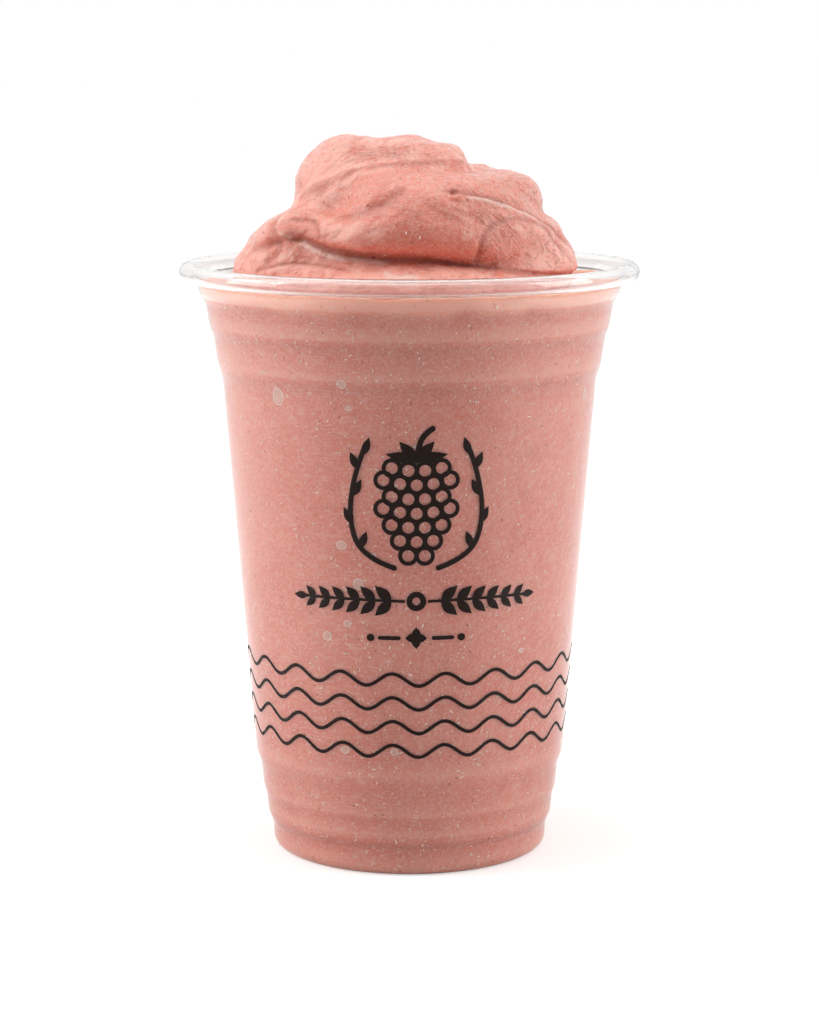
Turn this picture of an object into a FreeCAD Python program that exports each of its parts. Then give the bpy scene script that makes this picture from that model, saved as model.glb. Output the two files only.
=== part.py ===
import FreeCAD, Part
import math
import os
import Sketcher

# A raspberry smoothie in its clear thermoformed cup, in millimetres, +Z up.
# The origin is the middle of the foot, on the surface that the cup stands on.
# Two pieces: the cup, one sheet of clear plastic from its base panel to its rolled rim,
# and the smoothie, one thick mass that fills the cup and is heaped above the rim.

DIMENSIONS = {
    # the cup as a whole
    "rimRadius": 49.0,
    "cupHeight": 127.0,
    "baseRadius": 29.7,
    "wall": 0.4,
    # the rolled rim: one turn of the sheet, not quite closed
    "rollRadius": 1.9,
    "rollEnd": 62.0,
    # the foot: a rounded heel, a narrow ring that stands on the table, a raised panel
    "heelRadius": 2.4,
    "panelRadius": 25.2,
    "panelRise": 2.5,
    # the moulded ledges and the bands between them are softened by this radius
    "ledgeRounding": 0.8,
    # the smoothie against the wall, and how far below the top of the rim it lies there
    "contactGap": 0.1,
    "fillDepth": 5.5,
    # the heap: how far its ball stays in from the lip, its core above the fill, its height
    "freeRing": 14.2,
    "coreRise": 1.5,
    "heapRise": 30.8,
}

# Going up from the heel: each stretch of the wall with its rise and how far it steps out.
LOWER_WALL = [
    ("baseBand", 2.6, 0.05),
    ("baseLedge", 2.8, 1.15),
    ("secondBand", 3.95, 0.4),
    ("secondLedge", 1.55, 0.62),
    ("thirdBand", 5.3, 0.53),
    ("thirdLedge", 2.8, 1.0),
]

# Going down from the middle of the rolled rim: each stretch with its drop and step in.
UPPER_WALL = [
    ("neckBand", 4.1, 0.6),
    ("neckLedge", 2.5, 1.55),
    ("gripBand", 5.0, 0.8),
    ("gripLedge", 1.9, 0.8),
    ("stackBand", 5.9, 0.8),
    ("stackLedge", 3.2, 1.05),
]

# The heap is a ball round a core point on the cup's axis, swollen and creased where the thick
# smoothie folded over itself. Each swell has the direction of its middle (turned round the
# axis from +X, and up from level), its height as a share of the ball's radius, and how far
# it spreads round and up, all angles in degrees. A crease is a swell of negative height.
SWELLS = {
    "leftFoot": (188.0, 7.0, 0.19, 48.0, 16.5),
    "rightFoot": (-4.0, 9.0, 0.135, 42.0, 15.0),
    "frontFoot": (-88.0, 0.0, 0.17, 60.0, 8.0),
    "backFoot": (94.0, 0.0, 0.16, 60.0, 10.0),
    "frontCrease": (-80.0, 12.5, -0.11, 58.0, 4.5),
    "backCrease": (108.0, 15.0, -0.08, 50.0, 5.5),
    "rightCrease": (2.0, 27.5, -0.05, 26.0, 4.0),
    "leftWaist": (178.0, 32.0, -0.08, 30.0, 8.0),
    "belly": (-84.0, 33.0, 0.09, 44.0, 13.0),
    "leftPocket": (-128.0, 34.0, -0.10, 13.0, 9.0),
    "leftFold": (-146.0, 22.0, 0.06, 15.0, 10.0),
    "rightLobe": (-42.0, 21.0, 0.07, 17.0, 8.0),
    "rightShoulder": (-6.0, 38.0, 0.08, 34.0, 11.0),
    "backRoll": (82.0, 32.0, 0.10, 46.0, 13.0),
    "backPocket": (130.0, 40.0, -0.07, 16.0, 10.0),
    "leftShoulder": (182.0, 55.0, 0.17, 38.0, 12.0),
    "crownFront": (-105.0, 68.0, 0.05, 40.0, 12.0),
    "crownStep": (-8.0, 60.0, -0.125, 44.0, 9.0),
    "saddle": (-78.0, 55.0, -0.05, 40.0, 7.0),
}
SWELL_SIZES = ("Round", "Up", "Height", "SpreadRound", "SpreadUp")

# The heap's surface is a smooth spline through this many control points round and up it.
HEAP_COLUMNS = 60
HEAP_ROWS = 37


def cell(name):
    """The expression that reads one value of the spreadsheet."""
    return "Dimensions." + name


def add_spreadsheet(doc):
    """Writes every driving dimension into its own cell, under its own alias."""
    rows = dict(DIMENSIONS)
    for name, along, across in LOWER_WALL:
        rows[name + "Rise"] = along
        rows[name + "Step"] = across
    for name, along, across in UPPER_WALL:
        rows[name + "Drop"] = along
        rows[name + "Step"] = across
    for swell, sizes in SWELLS.items():
        for size, value in zip(SWELL_SIZES, sizes):
            rows[swell + size] = value
    sheet = doc.addObject("Spreadsheet::Sheet", "Dimensions")
    for row, (alias, value) in enumerate(rows.items(), start=1):
        sheet.set(f"A{row}", alias)
        sheet.set(f"B{row}", str(value))
        sheet.setAlias(f"B{row}", alias)
    doc.recompute()
    return sheet


def body_plane(body, role):
    """One of the body's own origin planes, by its role."""
    return next(item for item in body.Origin.OriginFeatures if item.Role == role)


def add_section(body, name):
    """A sketch on the body's XZ plane: its X is the radius, its Y the height."""
    sketch = body.newObject("Sketcher::SketchObject", name)
    sketch.AttachmentSupport = [(body_plane(body, "XZ_Plane"), "")]
    sketch.MapMode = "FlatFace"
    return sketch


def bind(sketch, kind, places, value, expression):
    """Adds one dimension to a sketch and ties it to the spreadsheet."""
    index = sketch.addConstraint(Sketcher.Constraint(kind, *places, value))
    sketch.setExpression(f"Constraints[{index}]", expression)


def pin(sketch, geometry, end, point, radius, height):
    """Fixes one end of a line or arc at a radius and a height, both expressions."""
    bind(sketch, "DistanceX", (-1, 1, geometry, end), point.x, radius)
    bind(sketch, "DistanceY", (-1, 1, geometry, end), point.y, height)


def line(sketch, start, end):
    """Draws a line and returns its index."""
    return sketch.addGeometry(Part.LineSegment(start, end), False)


def join(sketch, first, first_end, second, second_end):
    """Makes an end of one line or arc meet an end of another."""
    sketch.addConstraint(Sketcher.Constraint("Coincident", first, first_end, second, second_end))


def add_wall_outline(sketch, sheet, inset, inset_value):
    """Draws the wall from the heel up to the middle of the rolled rim, moved in by inset.

    Returns the first and the last line of the chain. Its ends and corners are tied to the
    same cells whatever the inset, so every outline drawn by this function fits the others.
    """
    lower = [FreeCAD.Vector(sheet.baseRadius - inset_value, sheet.heelRadius, 0)]
    for name, _, _ in LOWER_WALL:
        step = FreeCAD.Vector(sheet.get(name + "Step"), sheet.get(name + "Rise"), 0)
        lower.append(lower[-1] + step)
    lip = sheet.rimRadius - 2 * sheet.rollRadius + sheet.wall - inset_value
    upper = [FreeCAD.Vector(lip, sheet.cupHeight - sheet.rollRadius, 0)]
    for name, _, _ in UPPER_WALL:
        step = FreeCAD.Vector(sheet.get(name + "Step"), sheet.get(name + "Drop"), 0)
        upper.append(upper[-1] - step)
    points = lower + upper[::-1]
    lines = [line(sketch, start, end) for start, end in zip(points, points[1:])]
    for below, above in zip(lines, lines[1:]):
        join(sketch, below, 2, above, 1)

    pin(sketch, lines[0], 1, lower[0],
        f"{cell('baseRadius')} - {inset}", cell("heelRadius"))
    for index, (name, rise, step) in zip(lines, LOWER_WALL):
        bind(sketch, "DistanceX", (index, 1, index, 2), step, cell(name + "Step"))
        bind(sketch, "DistanceY", (index, 1, index, 2), rise, cell(name + "Rise"))
    pin(sketch, lines[-1], 2, upper[0],
        f"{cell('rimRadius')} - 2 * {cell('rollRadius')} + {cell('wall')} - {inset}",
        f"{cell('cupHeight')} - {cell('rollRadius')}")
    for index, (name, drop, step) in zip(lines[::-1], UPPER_WALL):
        bind(sketch, "DistanceX", (index, 1, index, 2), step, cell(name + "Step"))
        bind(sketch, "DistanceY", (index, 1, index, 2), drop, cell(name + "Drop"))
    return lines[0], lines[-1]


def add_heel(sketch, sheet, first_line, inset, inset_value):
    """Draws the rounded heel below the wall, down to the ring that the cup stands on."""
    centre = FreeCAD.Vector(sheet.baseRadius - sheet.heelRadius, sheet.heelRadius, 0)
    circle = Part.Circle(centre, FreeCAD.Vector(0, 0, 1), sheet.heelRadius - inset_value)
    quarter = Part.ArcOfCircle(circle, -1.5707963, 0.0)
    heel = sketch.addGeometry(quarter, False)
    join(sketch, heel, 2, first_line, 1)
    pin(sketch, heel, 3, centre,
        f"{cell('baseRadius')} - {cell('heelRadius')}", cell("heelRadius"))
    bind(sketch, "DistanceY", (-1, 1, heel, 1), max(inset_value, 1e-4), inset)
    return heel


def add_floor(sketch, sheet, heel, lift, lift_value):
    """Draws the standing ring, the side of the raised panel and the panel to the axis."""
    side = sheet.panelRadius + lift_value
    top = sheet.panelRise + lift_value
    ring_start = FreeCAD.Vector(sheet.baseRadius - sheet.heelRadius, lift_value, 0)
    corners = [ring_start, FreeCAD.Vector(side, lift_value, 0),
               FreeCAD.Vector(side, top, 0), FreeCAD.Vector(0, top, 0)]
    ring, riser, panel = [line(sketch, a, b) for a, b in zip(corners, corners[1:])]
    join(sketch, heel, 1, ring, 1)
    join(sketch, ring, 2, riser, 1)
    join(sketch, riser, 2, panel, 1)
    for level in (ring, panel):
        sketch.addConstraint(Sketcher.Constraint("Horizontal", level))
    sketch.addConstraint(Sketcher.Constraint("Vertical", riser))
    sketch.addConstraint(Sketcher.Constraint("PointOnObject", panel, 2, -2))
    pin(sketch, riser, 2, corners[2],
        f"{cell('panelRadius')} + {lift}", f"{cell('panelRise')} + {lift}")
    return panel


def add_roll(sketch, sheet, inner_line, outer_line):
    """Draws the rolled rim: the sheet turned outwards and down, round one centre."""
    centre = FreeCAD.Vector(sheet.rimRadius - sheet.rollRadius,
                            sheet.cupHeight - sheet.rollRadius, 0)
    axis = FreeCAD.Vector(0, 0, 1)
    end_angle = FreeCAD.Units.Quantity(f"{180 + sheet.rollEnd} deg").getValueAs("rad").Value
    arcs = []
    for radius, wall_line in ((sheet.rollRadius, inner_line),
                              (sheet.rollRadius - sheet.wall, outer_line)):
        circle = Part.Circle(centre, axis, radius)
        arc = sketch.addGeometry(Part.ArcOfCircle(circle, end_angle, 3.0 * 3.14159265), False)
        join(sketch, arc, 2, wall_line, 2)
        pin(sketch, arc, 3, centre,
            f"{cell('rimRadius')} - {cell('rollRadius')}",
            f"{cell('cupHeight')} - {cell('rollRadius')}")
        arcs.append(arc)
    outside, inside = arcs
    edge = line(sketch, sketch.getPoint(outside, 1), sketch.getPoint(inside, 1))
    join(sketch, outside, 1, edge, 1)
    join(sketch, inside, 1, edge, 2)
    sketch.addConstraint(Sketcher.Constraint("PointOnObject", outside, 3, edge))
    bind(sketch, "Angle", (-1, edge), end_angle - 3.14159265, f"{cell('rollEnd')} * 1 deg")


def revolve(body, sketch, name):
    """Turns a section once round the cup's axis."""
    turn = body.newObject("PartDesign::Revolution", name)
    turn.Profile = sketch
    turn.ReferenceAxis = (sketch, ["V_Axis"])
    turn.Angle = 360.0
    return turn


def round_edges(body, base, heights, radius, name):
    """Softens every ring edge of the wall that lies at one of the heights."""
    rings = []
    for number, edge in enumerate(base.Shape.Edges, start=1):
        height = edge.BoundBox.Center.z
        flat = edge.BoundBox.ZLength < 1e-3
        if flat and any(abs(height - wanted) < 1e-3 for wanted in heights):
            rings.append(f"Edge{number}")
    fillet = body.newObject("PartDesign::Fillet", name)
    fillet.Base = (base, rings)
    fillet.setExpression("Radius", radius)
    return fillet


def ledge_heights(sheet):
    """The heights of the corners where the ledges meet the bands."""
    height = sheet.heelRadius
    corners = []
    for name, _, _ in LOWER_WALL:
        height += sheet.get(name + "Rise")
        corners.append(height)
    height = sheet.cupHeight - sheet.rollRadius
    for name, _, _ in UPPER_WALL:
        height -= sheet.get(name + "Drop")
        corners.append(height)
    return corners


def make_cup(doc, sheet):
    """The cup: its section turned round the axis, with the ledges softened."""
    body = doc.addObject("PartDesign::Body", "Cup")
    body.Label = "cup"
    section = add_section(body, "CupSection")
    outer_first, outer_last = add_wall_outline(section, sheet, "0", 0.0)
    inner_first, inner_last = add_wall_outline(section, sheet, cell("wall"), sheet.wall)
    outer_heel = add_heel(section, sheet, outer_first, "0", 0.0)
    inner_heel = add_heel(section, sheet, inner_first, cell("wall"), sheet.wall)
    under = add_floor(section, sheet, outer_heel, "0", 0.0)
    above = add_floor(section, sheet, inner_heel, cell("wall"), sheet.wall)
    middle = line(section, section.getPoint(under, 2), section.getPoint(above, 2))
    join(section, under, 2, middle, 1)
    join(section, above, 2, middle, 2)
    add_roll(section, sheet, inner_last, outer_last)
    doc.recompute()
    shell = revolve(body, section, "CupShell")
    doc.recompute()
    round_edges(body, shell, ledge_heights(sheet), cell("ledgeRounding"), "SoftLedges")
    doc.recompute()
    return body


def make_fill(doc, sheet):
    """The part of the smoothie that fills the cup: the inside of the cup up to the fill."""
    body = doc.addObject("PartDesign::Body", "FilledSpace")
    inset = f"({cell('wall')} + {cell('contactGap')})"
    inset_value = sheet.wall + sheet.contactGap
    section = add_section(body, "FillSection")
    first, last = add_wall_outline(section, sheet, inset, inset_value)
    heel = add_heel(section, sheet, first, inset, inset_value)
    floor = add_floor(section, sheet, heel, inset, inset_value)
    lip = section.getPoint(last, 2)
    top = line(section, lip, FreeCAD.Vector(0, lip.y, 0))
    middle = line(section, FreeCAD.Vector(0, lip.y, 0), section.getPoint(floor, 2))
    join(section, last, 2, top, 1)
    join(section, top, 2, middle, 1)
    join(section, middle, 2, floor, 2)
    section.addConstraint(Sketcher.Constraint("Horizontal", top))
    section.addConstraint(Sketcher.Constraint("Vertical", middle))
    doc.recompute()
    revolve(body, section, "InsideOfCup")
    doc.recompute()

    headroom = body.newObject("PartDesign::SubtractiveCylinder", "Headroom")
    headroom.setExpression("Radius", cell("rimRadius"))
    headroom.setExpression("Height", cell("cupHeight"))
    headroom.setExpression(".Placement.Base.z", f"{cell('cupHeight')} - {cell('fillDepth')}")
    doc.recompute()
    return body


def turned_from(angle, middle):
    """The shortest turn from one angle to another, in degrees."""
    return (angle - middle + 180.0) % 360.0 - 180.0


def swelling(sheet, round_angle, up_angle):
    """The heap's reach in one direction, as a share of its ball's radius."""
    reach = 1.0
    for swell in SWELLS:
        middle_round, middle_up, height, spread_round, spread_up = [
            sheet.get(swell + size) for size in SWELL_SIZES]
        turn = turned_from(round_angle, middle_round) * math.cos(math.radians(middle_up))
        climb = up_angle - middle_up
        reach += height * math.exp(-(turn / spread_round) ** 2 - (climb / spread_up) ** 2)
    return reach


def make_heap(doc, sheet):
    """The heap above the fill: one smooth closed surface round its core."""
    radius = sheet.rimRadius - 2 * sheet.rollRadius - sheet.freeRing
    core = sheet.cupHeight - sheet.fillDepth + sheet.coreRise
    columns = [360.0 * column / HEAP_COLUMNS for column in range(HEAP_COLUMNS)]
    ends = (-90.0, 90.0)
    rows = [ends[0] + (ends[1] - ends[0]) * row / (HEAP_ROWS - 1) for row in range(HEAP_ROWS)]
    poles = []
    for round_angle in columns:
        column = []
        for up_angle in rows:
            at_end = up_angle in ends
            reach = swelling(sheet, 0.0 if at_end else round_angle, up_angle)
            level = 0.0 if at_end else radius * math.cos(math.radians(up_angle))
            column.append(FreeCAD.Vector(
                reach * level * math.cos(math.radians(round_angle)),
                reach * level * math.sin(math.radians(round_angle)),
                core + reach * sheet.heapRise * math.sin(math.radians(up_angle))))
        poles.append(column)
    degree = 3
    inner_knots = HEAP_ROWS - degree - 1
    surface = Part.BSplineSurface()
    surface.buildFromPolesMultsKnots(
        poles,
        [1] * (HEAP_COLUMNS + 1),
        [degree + 1] + [1] * inner_knots + [degree + 1],
        list(range(HEAP_COLUMNS + 1)),
        list(range(inner_knots + 2)),
        True, False, degree, degree)
    heap = doc.addObject("Part::Feature", "Heap")
    heap.Shape = Part.Solid(Part.Shell([surface.toShape()]))
    return heap


def make_smoothie(doc, sheet):
    """The smoothie: what fills the cup and the heap on it, as one mass."""
    smoothie = doc.addObject("Part::MultiFuse", "Smoothie")
    smoothie.Label = "smoothie"
    smoothie.Shapes = [make_fill(doc, sheet), make_heap(doc, sheet)]
    doc.recompute()
    return smoothie


def export(doc, bodies):
    """Checks every object of the document, then writes one STEP file for each piece."""
    for item in doc.Objects:
        if "Invalid" in item.State or "Error" in item.State:
            raise RuntimeError(f"{item.Name} failed: {item.State}")
    for body in bodies:
        if body.Shape.isNull() or not body.Shape.isValid():
            raise RuntimeError(f"{body.Label} has no valid shape")
    os.makedirs("parts", exist_ok=True)
    for body in bodies:
        body.Shape.exportStep(f"parts/{body.Label}.step")
        box = body.Shape.BoundBox
        print(f"{body.Label}: {len(body.Shape.Solids)} solid, {body.Shape.Volume / 1000:.2f} cm3,"
              f" {box.XLength:.2f} x {box.YLength:.2f} x {box.ZLength:.2f} mm")


doc = FreeCAD.newDocument("RaspberrySmoothie")
dimensions = add_spreadsheet(doc)
cup = make_cup(doc, dimensions)
smoothie = make_smoothie(doc, dimensions)
export(doc, [cup, smoothie])
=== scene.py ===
# %% [markdown]
# # A raspberry smoothie in its clear cup
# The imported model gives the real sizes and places. This lesson builds the looks on it: the
# clear cup with its ledges and rolled rim, the thick smoothie heaped above it, the flecks
# and bubbles in the fruit, the dark line art printed on the cup, and a plain studio.

# %% Load the frame
import math
import random

import bmesh
import bpy
import numpy as np
from mathutils import Matrix, Vector, noise
from mathutils.bvhtree import BVHTree


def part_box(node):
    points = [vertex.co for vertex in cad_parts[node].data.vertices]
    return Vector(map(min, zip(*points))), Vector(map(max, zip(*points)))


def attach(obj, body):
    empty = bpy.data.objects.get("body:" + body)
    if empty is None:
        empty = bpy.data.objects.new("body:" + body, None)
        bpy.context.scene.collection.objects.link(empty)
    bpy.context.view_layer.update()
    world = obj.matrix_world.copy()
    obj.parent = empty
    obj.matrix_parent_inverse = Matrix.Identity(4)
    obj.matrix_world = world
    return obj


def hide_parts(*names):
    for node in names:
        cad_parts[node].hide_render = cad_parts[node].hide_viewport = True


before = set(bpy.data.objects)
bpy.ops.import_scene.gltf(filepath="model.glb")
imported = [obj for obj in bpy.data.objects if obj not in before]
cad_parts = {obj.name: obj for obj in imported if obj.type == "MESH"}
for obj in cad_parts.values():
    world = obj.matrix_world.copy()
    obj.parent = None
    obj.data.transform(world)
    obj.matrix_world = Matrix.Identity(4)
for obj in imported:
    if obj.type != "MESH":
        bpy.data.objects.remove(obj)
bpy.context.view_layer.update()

MM = 0.001

cup_low, cup_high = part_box("cup")
heap_low, heap_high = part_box("smoothie")
RIM_RADIUS = (cup_high[0] - cup_low[0]) / 2
CUP_HEIGHT = cup_high[2]
print(f"rim {2 * RIM_RADIUS / MM:.1f} mm across, cup {CUP_HEIGHT / MM:.1f} mm tall, "
      f"{heap_high[2] / MM:.1f} mm with the heap")


# %% [markdown]
# ## Small helpers
# Every finished piece is one mesh whose object sits at the origin. A bmesh is a mesh under
# construction: operators shape it, and then it is written into a mesh that Blender can show.
# `finish_piece` does that for all pieces in the same way, so that no piece misses its smooth
# shading, its material or its ride on the CAD body.

# %% A helper that turns a bmesh into a finished piece
def add_object(name, bm, material):
    """Writes a bmesh into a new, smoothly shaded object that sits at the origin."""
    mesh = bpy.data.meshes.new(name)
    bm.to_mesh(mesh)
    bm.free()
    for face in mesh.polygons:
        face.use_smooth = True
    mesh.materials.append(material)
    piece = bpy.data.objects.new(name, mesh)
    bpy.context.scene.collection.objects.link(piece)
    return piece


def finish_piece(name, bm, material):
    """Makes a finished piece, which rides on the object's one body."""
    piece = add_object(name, bm, material)
    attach(piece, "root")
    print(f"{name}: {len(piece.data.polygons)} faces")
    return piece


def read_points(bm):
    """The places of all vertices, as one array with a row for each."""
    return np.array([vertex.co[:] for vertex in bm.verts])


def write_points(bm, points):
    """Moves all vertices to the places in an array."""
    for vertex, place in zip(bm.verts, points):
        vertex.co = place


# %% [markdown]
# ## The outline of the wall
# The cup is a thin sheet that was sucked into a mould, so all of it is one outline turned
# round an axis: a rounded heel, three low ledges, the long straight wall that carries the
# print, three ledges under the rim. One function gives that outline at any distance inside
# the outer face. The outside of the cup, its inside and the smoothie that touches it all use
# it, so they always fit. A polyline with a few numbers is enough, because the corners are
# rounded afterwards by a bevel on its vertices.

# %% Sizes of the cup's section, from the heel up and from the lip down
WALL = 0.4 * MM
BASE_RADIUS = 29.7 * MM
HEEL_RADIUS = 2.4 * MM
PANEL_RADIUS = 25.2 * MM
PANEL_RISE = 2.5 * MM
ROLL_RADIUS = 1.9 * MM
FILL_HEIGHT = CUP_HEIGHT - 5.5 * MM
LOWER_WALL = [(2.6, 0.05), (2.8, 1.15), (3.95, 0.4), (1.55, 0.62), (5.3, 0.53), (2.8, 1.0)]
UPPER_WALL = [(4.1, 0.6), (2.5, 1.55), (5.0, 0.8), (1.9, 0.8), (5.9, 0.8), (3.2, 1.05)]


def wall_outline(inset):
    """The wall from the heel to the lip as (radius, height) pairs, moved in by inset."""
    lower = [(BASE_RADIUS, HEEL_RADIUS)]
    for rise, step in LOWER_WALL:
        radius, height = lower[-1]
        lower.append((radius + step * MM, height + rise * MM))
    upper = [(RIM_RADIUS - 2 * ROLL_RADIUS + WALL, CUP_HEIGHT - ROLL_RADIUS)]
    for drop, step in UPPER_WALL:
        radius, height = upper[-1]
        upper.append((radius - step * MM, height - drop * MM))
    return [(radius - inset, height) for radius, height in lower + upper[::-1]]


def wall_radius(height, inset=0.0):
    """How far the wall is from the axis at a height."""
    outline = wall_outline(inset)
    return float(np.interp(height, [h for _, h in outline], [r for r, _ in outline]))


def arc(centre, radius, start, end, steps):
    """Points on an arc round a (radius, height) centre, angles in degrees."""
    angles = np.radians(np.linspace(start, end, steps + 1))
    return [(centre[0] + radius * math.cos(a), centre[1] + radius * math.sin(a))
            for a in angles]


print(f"the wall is {wall_radius(20 * MM) / MM:.1f} mm from the axis at 20 mm up and "
      f"{wall_radius(100 * MM) / MM:.1f} mm at 100 mm")

# %% Turning an outline round the axis
def turn_outline(outline, corners, rounding, segments, steps):
    """Spins an outline into a body of revolution; its corners are rounded first."""
    bm = bmesh.new()
    verts = [bm.verts.new((radius, 0.0, height)) for radius, height in outline]
    for first, second in zip(verts, verts[1:]):
        bm.edges.new((first, second))
    bmesh.ops.bevel(bm, geom=[verts[index] for index in corners], offset=rounding,
                    offset_type="OFFSET", segments=segments, profile=0.5,
                    affect="VERTICES", material=-1)
    bmesh.ops.spin(bm, geom=bm.verts[:] + bm.edges[:], cent=(0, 0, 0), axis=(0, 0, 1),
                   dvec=(0, 0, 0), angle=2 * math.pi, steps=steps, use_merge=True,
                   use_duplicate=False)
    bmesh.ops.remove_doubles(bm, verts=bm.verts, dist=0.002 * MM)
    bmesh.ops.recalc_face_normals(bm, faces=bm.faces)
    return bm


# %% [markdown]
# ## Shader node groups
# Two effects are groups with named inputs, each built once: *mottle*, soft clouds of a second
# colour, as in anything that was blended, which all the materials share, and *fibre*, thin
# pale strands lying every way, which are what is left of the fruit. A group puts out only a
# mask. The shader itself stays in each material.

# %% Helpers for building node trees
def feed(tree, socket, value):
    """Gives a node's input a value: another node's socket, a number, a vector or RGB."""
    if isinstance(value, bpy.types.NodeSocket):
        tree.links.new(value, socket)
    elif socket.type == "RGBA":
        socket.default_value = (*value, 1.0)
    else:
        socket.default_value = value


def set_inputs(tree, node, values):
    """Feeds several inputs of a node, by name."""
    for name, value in values.items():
        feed(tree, node.inputs[name], value)


def add_node(tree, kind, **values):
    """Adds a node and feeds its inputs, by name, or sets its own properties."""
    node = tree.nodes.new(kind)
    for key, value in values.items():
        if key in node.inputs:
            feed(tree, node.inputs[key], value)
        else:
            setattr(node, key, value)
    return node


def new_group(name, inputs):
    """An empty shader node group that takes a vector and floats and gives out a mask."""
    group = bpy.data.node_groups.new(name, "ShaderNodeTree")
    group.interface.new_socket("Vector", in_out="INPUT", socket_type="NodeSocketVector")
    for label, value in inputs.items():
        socket = group.interface.new_socket(label, in_out="INPUT",
                                            socket_type="NodeSocketFloat")
        socket.default_value = value
    group.interface.new_socket("Mask", in_out="OUTPUT", socket_type="NodeSocketFloat")
    return (group, group.nodes.new("NodeGroupInput").outputs,
            group.nodes.new("NodeGroupOutput"))


def use_group(tree, group, source, **values):
    """Places a node group in a tree, with its own values, and returns its mask."""
    node = tree.nodes.new("ShaderNodeGroup")
    node.node_tree = group
    set_inputs(tree, node, {"Vector": source, **values})
    return node.outputs["Mask"]


def noise_level(tree, source, scale, detail, roughness=0.5):
    """The level of a noise at a place; its average is about 0.5."""
    return add_node(tree, "ShaderNodeTexNoise", Vector=source, Scale=scale, Detail=detail,
                    Roughness=roughness).outputs["Fac"]


def ramp(tree, source, low, high, start=0.0, end=1.0):
    """Goes smoothly from start to end as a value goes from low to high."""
    return add_node(tree, "ShaderNodeMapRange", interpolation_type="SMOOTHSTEP",
                    Value=source, **{"From Min": low, "From Max": high, "To Min": start,
                                     "To Max": end}).outputs["Result"]


def math_node(tree, operation, first, second=0.0):
    """One Math node; each operand is a socket or a number."""
    node = add_node(tree, "ShaderNodeMath", operation=operation)
    feed(tree, node.inputs[0], first)
    feed(tree, node.inputs[1], second)
    return node.outputs[0]


def times(tree, first, second):
    """The product of two sockets, or a mask made weaker by a number."""
    return math_node(tree, "MULTIPLY", first, second)


def weighted_sum(tree, *parts):
    """Adds up masks, each times its own weight."""
    total = 0.0
    for mask, weight in parts:
        total = math_node(tree, "ADD", total, times(tree, mask, weight))
    return total


def mix_colour(tree, factor, first, second):
    """A colour Mix node; factor is a socket or a number, colours are sockets or RGB."""
    node = add_node(tree, "ShaderNodeMix", data_type="RGBA")
    for index, value in ((0, factor), (6, first), (7, second)):
        feed(tree, node.inputs[index], value)
    return node.outputs[2]


def lay_colours(tree, colour, layers):
    """Lays colours over one another; a layer has its mask, its strength and its colour."""
    for mask, strength, over in layers:
        colour = mix_colour(tree, times(tree, mask, strength), colour, over)
    return colour


def choose_shader(tree, factor, first, second, output):
    """Shows one shader where the factor is 0 and another where it is 1."""
    choose = tree.nodes.new("ShaderNodeMixShader")
    for socket, value in zip(choose.inputs, (factor, first.outputs[0], second.outputs[0])):
        tree.links.new(value, socket)
    tree.links.new(choose.outputs[0], output.inputs["Surface"])


def srgb(red, green, blue):
    """A colour given as it looks on screen, 0 to 255, as the linear one that nodes take."""
    def linear(level):
        level /= 255
        return level / 12.92 if level <= 0.04045 else ((level + 0.055) / 1.055) ** 2.4
    return (linear(red), linear(green), linear(blue))


# %% The mottle and fibre groups
def make_mottle():
    """Soft clouds, as a mask from 0 to 1."""
    group, given, output = new_group(
        "Mottle", {"Scale": 60.0, "Detail": 4.0, "From": 0.4, "To": 0.6})
    cloud = noise_level(group, given["Vector"], given["Scale"], given["Detail"], 0.6)
    feed(group, output.inputs["Mask"], ramp(group, cloud, given["From"], given["To"]))
    return group


def make_fibre():
    """Thin strands lying three ways, as a mask from 0 to 1."""
    group, given, output = new_group("Fibre", {"Scale": 900.0, "From": 0.66, "To": 0.74})
    strands = 0.0
    for tilt, stretch in ((0.6, 7.0), (-0.75, 6.0), (1.6, 8.0)):
        turned = add_node(group, "ShaderNodeMapping", vector_type="TEXTURE",
                          Vector=given["Vector"], Rotation=(0.3 * tilt, tilt, tilt * 2.0),
                          Scale=(1.0, 1.0, stretch)).outputs["Vector"]
        strands = math_node(group, "MAXIMUM", strands,
                            noise_level(group, turned, given["Scale"], 0.0))
    feed(group, output.inputs["Mask"], ramp(group, strands, given["From"], given["To"]))
    return group


MOTTLE = make_mottle()
FIBRE = make_fibre()
print("node groups:", MOTTLE.name, FIBRE.name)


# %% [markdown]
# ## The clear plastic
# The cup is clear sheet, so its material is glass-like: full transmission, a smooth surface
# and the index of the plastic. A lamp's light can't find its way through bending glass in
# reasonable time, so rays that only carry light to the smoothie pass straight through, by a
# Transparent shader that Light Path switches on. Real thermoformed sheet is never quite even,
# which a faint bump shows in its reflections.

# %% Starting a material with its Principled shader
def start_material(name):
    """A new node material; returns it, its tree, its shader and its output."""
    material = bpy.data.materials.new(name)
    material.use_nodes = True
    tree = material.node_tree
    return material, tree, tree.nodes["Principled BSDF"], tree.nodes["Material Output"]


def object_place(tree):
    """The place of a point on the piece, in metres."""
    return tree.nodes.new("ShaderNodeTexCoord").outputs["Object"]


def part_of(tree, vector, axis):
    """One of a vector's three numbers, X, Y or Z."""
    return add_node(tree, "ShaderNodeSeparateXYZ", Vector=vector).outputs[axis]


def add_bump(tree, shader, height, distance):
    """Feeds a height to the shader's normal."""
    bump = add_node(tree, "ShaderNodeBump", Strength=1.0, Distance=distance, Height=height)
    tree.links.new(bump.outputs["Normal"], shader.inputs["Normal"])


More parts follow.
